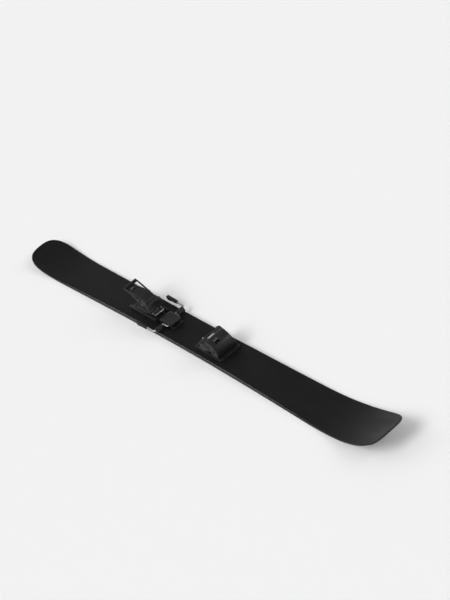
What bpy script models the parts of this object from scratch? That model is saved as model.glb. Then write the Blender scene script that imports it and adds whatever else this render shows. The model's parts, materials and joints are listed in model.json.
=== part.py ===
# Freeride ski with an alpine binding and ski brake.
# X runs along the ski towards the tip, Y to the skier's left, Z up.
# The origin is under the middle of the ski's length, on the snow.
# The binding is closed and the brake is held up, as with a boot in it.

import math

import bmesh
import bpy
from mathutils import Matrix, Vector

MM = 0.001

# Ski, plan view
SKI_LENGTH = 1840 * MM
TIP_WIDTH = 138 * MM
WAIST_WIDTH = 108 * MM
TAIL_WIDTH = 128 * MM
WAIST_X = -50 * MM
TIP_TAPER = 168 * MM
TAIL_TAPER = 105 * MM
TIP_BLUNTNESS = 2.45
TAIL_BLUNTNESS = 2.9
END_ANGLE = math.radians(86)

# Ski, side view
CAMBER = 3.6 * MM
FRONT_ROCKER = 370 * MM
REAR_ROCKER = 245 * MM
TIP_RISE = 74 * MM
TAIL_RISE = 31 * MM
ROCKER_CURVE = 2.35
MID_THICKNESS = 12.4 * MM
DECK_FRONT_X = 190 * MM
DECK_REAR_X = -350 * MM

# Ski, layers from the snow up
BOND = 0.1 * MM
SIDE_BOND = 0.15 * MM
EDGE_HEIGHT = 1.9 * MM
EDGE_WIDTH = 2.1 * MM
EDGE_FLANGE = 3.6 * MM
EDGE_FLANGE_HEIGHT = 0.6 * MM
EDGE_END_SHARE = 0.84
LOWER_LAMINATE = 0.6 * MM
SIDEWALL_WIDTH = 7.0 * MM
SIDEWALL_INSET = 0.3 * MM
SIDEWALL_SLANT = 2.4 * MM
METAL_SHEET = 0.4 * MM
UPPER_LAMINATE = 0.6 * MM
TOPSHEET = 0.6 * MM
TOPSHEET_CHAMFER = 0.5 * MM
SPACER_END = 0.8 * MM
CORE_TIP_MARGIN = 190 * MM
CORE_TAIL_MARGIN = 115 * MM
SPACER_JOINT = 0.4 * MM
STATION_ROOM = 4 * MM

# Fits
FIT = 0.3 * MM
NUDGE = 0.0002 * MM  # keeps two joined blocks from sharing a plane

# Screws into the ski
SCREW_SHANK_R = 2.75 * MM
SCREW_HEAD_R = 4.8 * MM
SCREW_HEAD_H = 2.6 * MM
SCREW_DEPTH = 8.6 * MM
SCREW_DRIVE_R = 1.9 * MM
SCREW_DRIVE_DEPTH = 1.5 * MM

# Boot, which sets where the binding's parts stand
BOOT_CENTRE_X = -65 * MM
SOLE_LENGTH = 306 * MM
TOE_STAND = 18 * MM
HEEL_STAND = 20 * MM
TOE_LUG = 19 * MM
HEEL_LUG = 30 * MM
LUG_ROOM = 1.0 * MM

# Toe piece, heights above the deck
TOE_BASE_REAR = 68 * MM
TOE_BASE_FRONT = 72 * MM
TOE_BASE_WIDTH = 76 * MM
TOE_BASE_HEIGHT = 8 * MM
TOE_SCREW_Z = 6.8 * MM
TOE_SCREW_REAR = 50 * MM
TOE_SCREW_FRONT = 64 * MM
TOE_SCREW_REAR_Y = 30 * MM
TOE_SCREW_FRONT_Y = 17 * MM
WING_PIVOT_AHEAD = 24 * MM
WING_PIVOT_Y = 26 * MM
WING_PIN_R = 3.0 * MM
WING_HUB_R = 7.5 * MM
WING_TOP = 47.6 * MM
WING_ARM = 22 * MM
WING_ARM_TIP_R = 4.7 * MM
WING_ARM_HEIGHT = 19 * MM
WING_FORK_GAP = 10 * MM
TOE_HOUSING_WALL = 3.0 * MM
TOE_HOUSING_REAR = 12 * MM
TOE_HOUSING_FRONT = 35 * MM
TOE_HOUSING_TOP = 57 * MM
TOE_CEILING = 48 * MM
TOE_SPRING_Z = 29 * MM
TOE_SPRING_COIL_R = 5.8 * MM
TOE_SPRING_WIRE_R = 1.4 * MM
TOE_SPRING_TURNS = 5
SPRING_END_GAP = 0.5 * MM
PLUNGER_THICK = 6 * MM
PLUNGER_WIDTH = 15 * MM
PLUNGER_HEIGHT = 19.4 * MM
RELEASE_SCREW_R = 2.5 * MM
RELEASE_HEAD_R = 4.0 * MM
RELEASE_TRAVEL = 3 * MM
TOE_NUT_THICK = 4 * MM
TOE_NUT_HALF = 7.2 * MM
POINTER_HALF = 1.6 * MM  # rider in the setting window
SLOT_HALF = 0.6 * MM

# Sliding plate under the boot's toe, set in height by a wedge
AFD_FLOOR = 2.0 * MM
AFD_CHANNEL_Y = 20.5 * MM
AFD_WEDGE_FLAT = 1.6 * MM
AFD_RAMP_LENGTH = 14 * MM
AFD_RAMP_RISE = 4 * MM
AFD_RAMP_PITCH = 18 * MM
AFD_LIFT = 2.2 * MM
AFD_PLATE_THICK = 4 * MM
AFD_PLATE_Y = 27 * MM
AFD_KEY_WIDTH = 12 * MM
AFD_KEY_HEIGHT = 1.8 * MM
HEIGHT_SCREW_R = 1.5 * MM
HEIGHT_SCREW_HEAD_R = 3.4 * MM

# Heel piece, heights above the deck, lengths from its pivot
HEEL_PIVOT_BEHIND = 44 * MM
HEEL_PIVOT_HEIGHT = 40 * MM
HEEL_PIN_R = 3.0 * MM
HEEL_OPEN_DEG = 38
TRACK_REAR = 82 * MM
TRACK_FRONT = 64 * MM
TRACK_WIDTH = 54 * MM
TRACK_FLOOR = 2.3 * MM
TRACK_WALL = 4 * MM
TRACK_LIP = 3 * MM
TRACK_HEIGHT = 11 * MM
TRACK_LIP_HEIGHT = 2 * MM
TRACK_PAD_HEIGHT = 6.4 * MM
HEEL_SCREW_FRONT = 46 * MM
HEEL_SCREW_REAR = 73 * MM
HEEL_SCREW_Y = 14 * MM
CARRIAGE_REAR = 52 * MM
CARRIAGE_FRONT = 13 * MM
CARRIAGE_TOP = 13.9 * MM
CARRIAGE_TRAVEL = 12 * MM
WORM_PITCH = 4 * MM
WORM_R = 4.5 * MM
WORM_LENGTH = 28 * MM
WORM_NECK_R = 2.0 * MM
RACK_TOP = 5.1 * MM
RACK_DEPTH = 2.0 * MM
RACK_TOOTH = 1.0 * MM
THREAD_CREST = 0.9 * MM
THREAD_FOOT = 1.9 * MM
RACK_HALF_WIDTH = 5 * MM
TOWER_HALF_WIDTH = 6 * MM
TOWER_R = 12.4 * MM
TOWER_STEM_FRONT = 10 * MM
CUP_BORE = 35.4 * MM
CUP_LIP_BORE = 28.5 * MM
TOWER_STEM_REAR = 5 * MM
HEEL_HOUSING_WIDTH = 40 * MM
SPRING_TILT_DEG = 38
NOSE_BACK = 17 * MM
NOSE_DROP = 4 * MM
NOSE_R = 4.5 * MM
NOSE_HALF_WIDTH = 4.4 * MM
CAM_RISE = 6 * MM
PISTON_R = 8.3 * MM
PISTON_FRONT = 5 * MM
PISTON_LENGTH = 8 * MM
HEEL_BORE_END = 45.5 * MM
HEEL_TUBE_END = 50 * MM
HEEL_TUBE_R = 11 * MM
HEEL_NUT_AT = 38 * MM
HEEL_NUT_THICK = 4.5 * MM
HEEL_SPRING_COIL_R = 6.3 * MM
HEEL_SPRING_WIRE_R = 1.5 * MM
HEEL_SPRING_TURNS = 6
LEVER_PIN_R = 2.5 * MM
LEVER_THICK = 3.4 * MM

# Ski brake, heights above the deck
BRAKE_AXIS_FROM_HEEL = 58 * MM
BRAKE_AXIS_HEIGHT = 10 * MM
BRAKE_WIRE_R = 2.75 * MM
BRAKE_ARM_Y = 60 * MM
BRAKE_ARM_LENGTH = 84 * MM
BRAKE_CRANK = 22 * MM
BRAKE_CRANK_DEG = -5
BRAKE_CRANK_Y = 24 * MM
BRAKE_BEND_R = 5 * MM
PEDAL_HINGE_BACK = 15 * MM
PEDAL_HINGE_RISE = 1.2 * MM
PEDAL_HALF_WIDTH = 20.4 * MM
PEDAL_FRONT = 40 * MM
PEDAL_PIN_R = 2.0 * MM
BRAKE_FOOT_LENGTH = 44 * MM
BRAKE_SPRING_COIL_R = 3.9 * MM
BRAKE_SPRING_WIRE_R = 0.9 * MM
BRAKE_SPRING_TURNS = 5

TOE_X = BOOT_CENTRE_X + SOLE_LENGTH / 2
HEEL_X = BOOT_CENTRE_X - SOLE_LENGTH / 2
TIP_X = SKI_LENGTH / 2
TAIL_X = -SKI_LENGTH / 2
TIP_WIDEST_X = TIP_X - TIP_TAPER
TAIL_WIDEST_X = TAIL_X + TAIL_TAPER
FRONT_CONTACT_X = TIP_X - FRONT_ROCKER
REAR_CONTACT_X = TAIL_X + REAR_ROCKER
CORE_TIP_X = TIP_X - CORE_TIP_MARGIN
CORE_TAIL_X = TAIL_X + CORE_TAIL_MARGIN
EDGE_TIP_X = TIP_WIDEST_X + TIP_TAPER * EDGE_END_SHARE
EDGE_TAIL_X = TAIL_WIDEST_X - TAIL_TAPER * EDGE_END_SHARE


# Scene tools

ORIGINS = {}


def clear_scene():
    for obj in list(bpy.data.objects):
        bpy.data.objects.remove(obj, do_unlink=True)


def material(name, color, roughness, metallic=0.0):
    mat = bpy.data.materials.new(name)
    mat.use_nodes = True
    shader = mat.node_tree.nodes["Principled BSDF"]
    shader.inputs["Base Color"].default_value = (*color, 1.0)
    shader.inputs["Roughness"].default_value = roughness
    shader.inputs["Metallic"].default_value = metallic
    mat.diffuse_color = (*color, 1.0)
    return mat


def place(obj, origin, parent):
    """Put an object's own origin at a world point, under an optional parent."""
    origin = Vector(origin)
    ORIGINS[obj.name] = origin
    obj.location = origin
    if parent is not None:
        obj.parent = parent
        obj.location = origin - ORIGINS[parent.name]


def empty(name, origin, parent=None):
    obj = bpy.data.objects.new(name, None)
    obj.empty_display_size = 10 * MM
    bpy.context.collection.objects.link(obj)
    place(obj, origin, parent)
    return obj


def solid(name, bm, mat, origin=(0, 0, 0), parent=None, smooth=None):
    """Turn a bmesh in world coordinates into a named object."""
    bmesh.ops.recalc_face_normals(bm, faces=bm.faces)
    mesh = bpy.data.meshes.new(name)
    bm.to_mesh(mesh)
    bm.free()
    mesh.transform(Matrix.Translation(-Vector(origin)))
    mesh.materials.append(mat)
    if smooth is not None:
        mesh.shade_smooth()
        mesh.set_sharp_from_angle(angle=math.radians(smooth))
    obj = bpy.data.objects.new(name, mesh)
    bpy.context.collection.objects.link(obj)
    place(obj, origin, parent)
    return obj


def combine(obj, tool_bm, operation):
    """Cut a shape out of an object, or join one on, with a hidden tool body."""
    bmesh.ops.recalc_face_normals(tool_bm, faces=tool_bm.faces)
    mesh = bpy.data.meshes.new(obj.name + ".tool")
    tool_bm.to_mesh(mesh)
    tool_bm.free()
    tool = bpy.data.objects.new(obj.name + ".tool", mesh)
    bpy.context.collection.objects.link(tool)
    tool.hide_render = True
    tool.display_type = "WIRE"
    tool.location = (0, 0, 0)
    mod = obj.modifiers.new(operation.title(), "BOOLEAN")
    mod.operation = operation
    mod.object = tool
    mod.solver = "EXACT"


def cut(obj, *tools):
    for tool in tools:
        combine(obj, tool, "DIFFERENCE")


def join(obj, *tools):
    for tool in tools:
        combine(obj, tool, "UNION")


def round_edges(obj, width, segments=2, angle=40):
    mod = obj.modifiers.new("Rounded edges", "BEVEL")
    mod.width = width
    mod.segments = segments
    mod.limit_method = "ANGLE"
    mod.angle_limit = math.radians(angle)


# Shape tools

def ring(bm, points):
    return [bm.verts.new(point) for point in points]


def bridge(bm, rings, closed=False):
    """Skin a row of equal rings, and cap its ends unless it closes on itself."""
    count = len(rings[0])
    pairs = list(zip(rings, rings[1:]))
    if closed:
        pairs.append((rings[-1], rings[0]))
    for first, second in pairs:
        for i in range(count):
            j = (i + 1) % count
            bm.faces.new((first[i], first[j], second[j], second[i]))
    if not closed:
        bm.faces.new(rings[0][::-1])
        bm.faces.new(rings[-1])


def extruded(outline, plane, low, high):
    """A prism: outline points in the plane XY, XZ or YZ, run along the third axis."""
    lift = {
        "XY": lambda p, t: (p[0], p[1], t),
        "XZ": lambda p, t: (p[0], t, p[1]),
        "YZ": lambda p, t: (t, p[0], p[1]),
    }[plane]
    bm = bmesh.new()
    bridge(bm, [ring(bm, [lift(p, t) for p in outline]) for t in (low, high)])
    bmesh.ops.recalc_face_normals(bm, faces=bm.faces)
    return bm


def box(x, y, z):
    return extruded([(x[0], y[0]), (x[1], y[0]), (x[1], y[1]), (x[0], y[1])], "XY", *z)


def rounded_rect(u, v, radius, steps=4):
    """Outline of a rectangle with rounded corners."""
    corners = (
        (u[1] - radius, v[1] - radius, 0),
        (u[0] + radius, v[1] - radius, 90),
        (u[0] + radius, v[0] + radius, 180),
        (u[1] - radius, v[0] + radius, 270),
    )
    points = []
    for cu, cv, start in corners:
        points += arc((cu, cv), radius, start, start + 90, steps)
    return points


def arc(centre, radius, start, end, steps):
    """Points on an arc, angles in degrees, both ends included."""
    points = []
    for i in range(steps + 1):
        angle = math.radians(start + (end - start) * i / steps)
        points.append((centre[0] + radius * math.cos(angle), centre[1] + radius * math.sin(angle)))
    return points


def turned(profile, start, direction, segments=16):
    """A turned solid: profile is (distance along the axis, radius), from end to end."""
    start = Vector(start)
    axis = Vector(direction).normalized()
    side = axis.orthogonal().normalized()
    if abs(axis.z) < 0.99:
        side = axis.cross(Vector((0, 0, 1))).normalized()
    other = axis.cross(side)
    bm = bmesh.new()
    rings = []
    for along, radius in profile:
        points = []
        for i in range(segments):
            angle = 2 * math.pi * (i + 0.5) / segments
            out = side * math.cos(angle) + other * math.sin(angle)
            points.append(start + axis * along + out * radius)
        rings.append(ring(bm, points))
    bridge(bm, rings)
    bmesh.ops.recalc_face_normals(bm, faces=bm.faces)
    return bm


def rod(start, end, radius, segments=16):
    start = Vector(start)
    run = Vector(end) - start
    return turned([(0, radius), (run.length, radius)], start, run, segments)


def swept(points, radius, sides=8):
    """A round wire along a path, with rings square to it and flat ends."""
    points = [Vector(p) for p in points]
    tangents = []
    for i in range(len(points)):
        before = points[max(i - 1, 0)]
        after = points[min(i + 1, len(points) - 1)]
        tangents.append((after - before).normalized())
    normal = tangents[0].orthogonal().normalized()
    bm = bmesh.new()
    rings = []
    for point, tangent in zip(points, tangents):
        normal = (normal - tangent * normal.dot(tangent)).normalized()
        across = tangent.cross(normal)
        turn = [2 * math.pi * i / sides for i in range(sides)]
        rings.append(ring(bm, [point + (normal * math.cos(a) + across * math.sin(a)) * radius for a in turn]))
    bridge(bm, rings)
    bmesh.ops.recalc_face_normals(bm, faces=bm.faces)
    return bm


def coil(start, direction, coil_radius, wire_radius, length, turns, points_per_turn=10):
    """A compression spring whose wire centres run from one end to the other, ends closed up."""
    start = Vector(start)
    axis = Vector(direction).normalized()
    side = axis.orthogonal().normalized()
    other = axis.cross(side)
    pitch = 2 * wire_radius + SPRING_END_GAP
    end_rise = pitch
    count = int(turns * points_per_turn)
    points = []
    for i in range(count + 1):
        turn = i / points_per_turn
        rise = min(turn, 1) * end_rise
        middle = max(0.0, min(turn - 1, turns - 2)) / (turns - 2) * (length - 2 * end_rise)
        rise += middle + max(0.0, turn - (turns - 1)) * end_rise
        angle = 2 * math.pi * turn
        out = side * math.cos(angle) + other * math.sin(angle)
        points.append(start + axis * rise + out * coil_radius)
    return points


def least_gap(points, wire_radius, points_per_turn=10):
    """Smallest clear distance between neighbouring turns of a coil."""
    gap = 1.0
    for i, point in enumerate(points):
        for later in points[i + points_per_turn // 2 + 1:]:
            gap = min(gap, (point - later).length - 2 * wire_radius)
    return gap




# Ski outline and side profile

def half_width(x):
    if x > TIP_WIDEST_X:
        share = (x - TIP_WIDEST_X) / TIP_TAPER
        return TIP_WIDTH / 2 * max(0.0, 1 - share ** TIP_BLUNTNESS) ** (1 / TIP_BLUNTNESS)
    if x < TAIL_WIDEST_X:
        share = (TAIL_WIDEST_X - x) / TAIL_TAPER
        return TAIL_WIDTH / 2 * max(0.0, 1 - share ** TAIL_BLUNTNESS) ** (1 / TAIL_BLUNTNESS)
    end_x, end_width = (TIP_WIDEST_X, TIP_WIDTH) if x > WAIST_X else (TAIL_WIDEST_X, TAIL_WIDTH)
    share = (x - WAIST_X) / (end_x - WAIST_X)
    return (WAIST_WIDTH + (end_width - WAIST_WIDTH) * share ** 2) / 2


def base_z(x):
    """Height of the running surface above the snow."""
    if x > FRONT_CONTACT_X:
        return TIP_RISE * ((x - FRONT_CONTACT_X) / FRONT_ROCKER) ** ROCKER_CURVE
    if x < REAR_CONTACT_X:
        return TAIL_RISE * ((REAR_CONTACT_X - x) / REAR_ROCKER) ** ROCKER_CURVE
    share = (x - REAR_CONTACT_X) / (FRONT_CONTACT_X - REAR_CONTACT_X)
    return CAMBER * math.sin(math.pi * share) ** 2


LOWER_STACK = EDGE_HEIGHT + BOND + LOWER_LAMINATE
TOP_SKINS = BOND + UPPER_LAMINATE + BOND + TOPSHEET
UPPER_STACK = BOND + METAL_SHEET + TOP_SKINS
END_THICKNESS = LOWER_STACK + BOND + SPACER_END + TOP_SKINS
DECK_X = (DECK_FRONT_X + DECK_REAR_X) / 2
DECK_Z = base_z(DECK_X) + MID_THICKNESS


def top_z(x):
    """Height of the topsheet: flat under the binding, thinning out to both ends."""
    if DECK_REAR_X <= x <= DECK_FRONT_X:
        return DECK_Z
    if x > DECK_FRONT_X:
        start_x, end_x = DECK_FRONT_X, CORE_TIP_X
    else:
        start_x, end_x = DECK_REAR_X, CORE_TAIL_X
    start_thickness = DECK_Z - base_z(start_x)
    share = min(1.0, (x - start_x) / (end_x - start_x))
    fall = (1 - share ** 1.7) ** 1.35
    return base_z(x) + END_THICKNESS + (start_thickness - END_THICKNESS) * fall


def stations():
    """Outline stations from tail to tip, each with its point and outward normal."""
    xs = []
    for i in range(9):
        angle = END_ANGLE * (1 - i / 9)
        xs.append(TAIL_WIDEST_X - TAIL_TAPER * math.sin(angle) / math.sin(END_ANGLE))
    spans = (
        (TAIL_WIDEST_X, REAR_CONTACT_X, 5),
        (REAR_CONTACT_X, DECK_REAR_X, 6),
        (DECK_REAR_X, DECK_FRONT_X, 8),
        (DECK_FRONT_X, FRONT_CONTACT_X, 7),
        (FRONT_CONTACT_X, TIP_WIDEST_X, 8),
    )
    for low, high, steps in spans:
        xs += [low + (high - low) * i / steps for i in range(steps)]
    for i in range(14):
        angle = END_ANGLE * i / 13
        xs.append(TIP_WIDEST_X + TIP_TAPER * math.sin(angle) / math.sin(END_ANGLE))
    joints = (CORE_TAIL_X - SPACER_JOINT, CORE_TAIL_X, CORE_TIP_X, CORE_TIP_X + SPACER_JOINT)
    for x in joints + (EDGE_TAIL_X, EDGE_TIP_X):
        xs = [other for other in xs if abs(other - x) > STATION_ROOM or other in joints]
        xs.append(x)
    xs.sort()
    tip_end = half_width(TIP_WIDEST_X + TIP_TAPER * math.sin(END_ANGLE))
    tail_end = half_width(TAIL_WIDEST_X - TAIL_TAPER * math.sin(END_ANGLE))
    points = [(x, half_width(x)) for x in xs]
    points[0] = (TAIL_X, tail_end)
    points[-1] = (TIP_X, tip_end)
    found = []
    for i, (x, y) in enumerate(points):
        before = points[max(i - 1, 0)]
        after = points[min(i + 1, len(points) - 1)]
        run = Vector((after[0] - before[0], after[1] - before[1])).normalized()
        found.append((x, y, -run.y, run.x))
    return found


STATIONS = stations()


def offset_station(station, inset):
    """A station moved in from the outline by a distance measured square to it."""
    x, y, nx, ny = station
    return x - inset * nx, max(y - inset * ny, 0.5 * MM)


def layer(section, low_x, high_x, mirrored=False):
    """Loft a section along the ski.

    The section returns (inset, height) pairs for a station. They run up one side
    only, and the other side mirrors them, unless the layer lies on one side."""
    bm = bmesh.new()
    rings = []
    for station in clipped(low_x, high_x):
        points = []
        for inset, height in section(station):
            x, y = offset_station(station, inset)
            points.append((x, y, base_z(x) + height(x)))
        if mirrored:
            rings.append(ring(bm, points))
        else:
            other = [(x, -y, z) for x, y, z in reversed(points)]
            rings.append(ring(bm, points + other))
    bridge(bm, rings)
    return bm


def clipped(low_x, high_x):
    """The stations between two places, which are stations themselves."""
    slack = 0.01 * MM
    return [s for s in STATIONS if low_x - slack <= s[0] <= high_x + slack]


def level(height):
    return lambda x: height


def below_top(depth):
    return lambda x: top_z(x) - base_z(x) - depth


def base_section(station):
    """Running base, rebated at the top where the steel edges' flanges lie on it."""
    beside_edge = EDGE_TAIL_X - 0.01 * MM <= station[0] <= EDGE_TIP_X + 0.01 * MM
    lower = EDGE_WIDTH + SIDE_BOND if beside_edge else 0
    upper = lower + EDGE_FLANGE if beside_edge else SIDEWALL_INSET
    shoulder = EDGE_HEIGHT - EDGE_FLANGE_HEIGHT - BOND
    return (
        (lower, level(0)),
        (lower, level(shoulder)),
        (upper, level(shoulder)),
        (upper, level(EDGE_HEIGHT)),
    )


def edge_section(station):
    flange_z = EDGE_HEIGHT - EDGE_FLANGE_HEIGHT
    return (
        (0, level(0)),
        (0, level(EDGE_HEIGHT)),
        (EDGE_WIDTH + EDGE_FLANGE, level(EDGE_HEIGHT)),
        (EDGE_WIDTH + EDGE_FLANGE, level(flange_z)),
        (EDGE_WIDTH, level(flange_z)),
        (EDGE_WIDTH, level(0)),
    )


def flat_section(inset, low, high, chamfer=0.0):
    return lambda station: ((inset, low), (inset + chamfer, high))


def sidewall_section(station):
    low = level(LOWER_STACK + BOND)
    high = below_top(UPPER_STACK)
    inner = SIDEWALL_INSET + SIDEWALL_WIDTH
    return (
        (SIDEWALL_INSET, low),
        (SIDEWALL_INSET + SIDEWALL_SLANT, high),
        (inner, high),
        (inner, low),
    )


TOP_INSET = SIDEWALL_INSET + SIDEWALL_SLANT
CORE_INSET = SIDEWALL_INSET + SIDEWALL_WIDTH + SIDE_BOND


def ski_body(mats):
    """Every bonded layer of the ski, from the running base to the topsheet."""
    tail, tip = TAIL_X, TIP_X
    base = solid("base", layer(base_section, tail, tip), mats["base"])
    right = Matrix.Scale(-1, 4, (0, 1, 0))
    for side in ("left", "right"):
        edge = layer(edge_section, EDGE_TAIL_X, EDGE_TIP_X, mirrored=True)
        wall = layer(sidewall_section, CORE_TAIL_X, CORE_TIP_X, mirrored=True)
        for bm in (edge, wall):
            if side == "right":
                bm.transform(right)
        solid("edge_" + side, edge, mats["edge"])
        solid("sidewall_" + side, wall, mats["sidewall"])
    low = level(EDGE_HEIGHT + BOND)
    high = level(LOWER_STACK)
    solid("lower_laminate", layer(flat_section(SIDEWALL_INSET, low, high), tail, tip), mats["laminate"])
    low = level(LOWER_STACK + BOND)
    core = layer(flat_section(CORE_INSET, low, below_top(UPPER_STACK)), CORE_TAIL_X, CORE_TIP_X)
    core = solid("wood_core", core, mats["wood"])
    sheet_low = below_top(UPPER_STACK - BOND)
    sheet = layer(flat_section(TOP_INSET, sheet_low, below_top(TOP_SKINS)), CORE_TAIL_X, CORE_TIP_X)
    sheet = solid("metal_sheet", sheet, mats["metal"])
    spacer = flat_section(SIDEWALL_INSET, low, below_top(TOP_SKINS), TOP_INSET - SIDEWALL_INSET)
    solid("tip_spacer", layer(spacer, CORE_TIP_X + SPACER_JOINT, tip), mats["spacer"])
    solid("tail_spacer", layer(spacer, tail, CORE_TAIL_X - SPACER_JOINT), mats["spacer"])
    skin = flat_section(TOP_INSET, below_top(TOP_SKINS - BOND), below_top(BOND + TOPSHEET))
    skin = solid("upper_laminate", layer(skin, tail, tip), mats["laminate"])
    top = flat_section(TOP_INSET, below_top(TOPSHEET), below_top(0), TOPSHEET_CHAMFER)
    top = solid("topsheet", layer(top, tail, tip), mats["topsheet"])
    return {"base": base, "wood_core": core, "metal_sheet": sheet, "upper_laminate": skin, "topsheet": top}


# Colours and finishes

def materials():
    return {
        "base": material("base", (0.012, 0.012, 0.013), 0.35),
        "edge": material("edge", (0.55, 0.56, 0.57), 0.3, 1.0),
        "sidewall": material("sidewall", (0.015, 0.015, 0.016), 0.4),
        "laminate": material("laminate", (0.30, 0.33, 0.26), 0.45),
        "wood": material("wood", (0.55, 0.38, 0.20), 0.6),
        "metal": material("metal", (0.60, 0.61, 0.62), 0.35, 1.0),
        "spacer": material("spacer", (0.02, 0.02, 0.022), 0.5),
        "topsheet": material("topsheet", (0.010, 0.010, 0.011), 0.38),
        "housing": material("housing", (0.018, 0.018, 0.019), 0.42),
        "plastic": material("plastic", (0.025, 0.025, 0.027), 0.5),
        "steel": material("steel", (0.50, 0.51, 0.52), 0.32, 1.0),
        "dark_steel": material("dark_steel", (0.10, 0.10, 0.11), 0.38, 1.0),
        "spring": material("spring", (0.42, 0.42, 0.43), 0.35, 1.0),
        "slider": material("slider", (0.42, 0.43, 0.44), 0.35),
    }


# Screws

def ski_screw_places(centre_x, rear, front, rear_y, front_y):
    """Four screw places round a plate, as (x, y) pairs."""
    return [
        (centre_x - rear, rear_y),
        (centre_x - rear, -rear_y),
        (centre_x + front, front_y),
        (centre_x + front, -front_y),
    ]


def ski_screw(name, place_xy, head_z, mat):
    """A countersunk screw with a driver socket, from its head down into the ski."""
    length = head_z - (DECK_Z - SCREW_DEPTH)
    tip = SCREW_SHANK_R
    profile = [
        (0, SCREW_HEAD_R),
        (SCREW_HEAD_H, SCREW_SHANK_R),
        (length - tip, SCREW_SHANK_R),
        (length, SCREW_SHANK_R * 0.35),
    ]
    screw = solid(name, turned(profile, (*place_xy, head_z), (0, 0, -1), 12), mat, smooth=40)
    cut(screw, rod((*place_xy, head_z + 1 * MM), (*place_xy, head_z - SCREW_DRIVE_DEPTH), SCREW_DRIVE_R, 6))
    return screw


def screw_hole(place_xy, low_z, head_z, rim_z):
    """The countersunk hole of a ski screw, with a round recess above it up to the rim."""
    over = 1 * MM
    sunk = rim_z + over - head_z
    recess = SCREW_HEAD_R + 2 * FIT
    profile = [
        (0, recess),
        (sunk, recess),
        (sunk + SCREW_HEAD_H + 2 * FIT, SCREW_SHANK_R + FIT),
        (rim_z + over - low_z + over, SCREW_SHANK_R + FIT),
    ]
    return turned(profile, (*place_xy, rim_z + over), (0, 0, -1), 12)


def drill_ski(ski, places):
    """Blind holes for the binding's screws through the layers above the core's bottom."""
    low = DECK_Z - SCREW_DEPTH - FIT
    for name in ("wood_core", "metal_sheet", "upper_laminate", "topsheet"):
        for x, y in places:
            cut(ski[name], rod((x, y, low), (x, y, DECK_Z + 5 * MM), SCREW_SHANK_R + 2 * FIT, 8))


# Toe piece

def deck(height):
    """World height of something above the deck."""
    return DECK_Z + height


WING_X = TOE_X + WING_PIVOT_AHEAD
SPRING_X = WING_X + WING_ARM
HOUSING_REAR_X = WING_X - TOE_HOUSING_REAR
HOUSING_FRONT_X = WING_X + TOE_HOUSING_FRONT
CAVITY_REAR_X = HOUSING_REAR_X + TOE_HOUSING_WALL
CAVITY_FRONT_X = HOUSING_FRONT_X - TOE_HOUSING_WALL - 1 * MM
PLUNGER_OUT_Y = WING_PIVOT_Y - WING_ARM_TIP_R - FIT
PLUNGER_IN_Y = PLUNGER_OUT_Y - PLUNGER_THICK
TOE_BASE_LOW_X = TOE_X - TOE_BASE_REAR
TOE_BASE_HIGH_X = TOE_X + TOE_BASE_FRONT
AFD_CHANNEL_REAR_X = TOE_BASE_LOW_X + 6 * MM
AFD_CHANNEL_FRONT_X = TOE_X + 5 * MM
AFD_NUT_REAR_X = AFD_CHANNEL_REAR_X + AFD_LIFT * AFD_RAMP_LENGTH / AFD_RAMP_RISE + 2 * MM
AFD_NUT_FRONT_X = AFD_NUT_REAR_X + 8 * MM
AFD_RAMP_X = AFD_NUT_FRONT_X + 9 * MM
AFD_SCREW_Z = AFD_FLOOR + FIT + 3.3 * MM
AFD_TOP = TOE_STAND - AFD_PLATE_THICK
TOE_SCREWS = ski_screw_places(TOE_X, TOE_SCREW_REAR, TOE_SCREW_FRONT, TOE_SCREW_REAR_Y, TOE_SCREW_FRONT_Y)


def toe_base(mats):
    half = TOE_BASE_WIDTH / 2
    outline = rounded_rect((TOE_BASE_LOW_X, TOE_BASE_HIGH_X), (-half, half), 9 * MM)
    plate = extruded(outline, "XY", deck(FIT), deck(TOE_BASE_HEIGHT))
    base = solid("toe_base_plate", plate, mats["housing"], smooth=35)
    over = 2 * MM
    high = deck(TOE_BASE_HEIGHT) + over
    channel_x = (AFD_CHANNEL_REAR_X, AFD_CHANNEL_FRONT_X)
    cut(base, box(channel_x, (-AFD_CHANNEL_Y, AFD_CHANNEL_Y), (deck(AFD_FLOOR), high)))
    screw_z = deck(AFD_SCREW_Z)
    bore_ends = (TOE_BASE_LOW_X - over, 0, screw_z), (AFD_CHANNEL_REAR_X + over, 0, screw_z)
    bore = rod(*bore_ends, HEIGHT_SCREW_R + FIT, 12)
    cut(base, bore)
    for side in (1, -1):
        foot = (WING_X, side * WING_PIVOT_Y)
        cut(base, rod((*foot, deck(2 * MM)), (*foot, high), WING_PIN_R + FIT, 16))
    for place_xy in TOE_SCREWS:
        cut(base, screw_hole(place_xy, deck(0), deck(TOE_SCREW_Z), deck(TOE_BASE_HEIGHT)))
    return base


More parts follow.
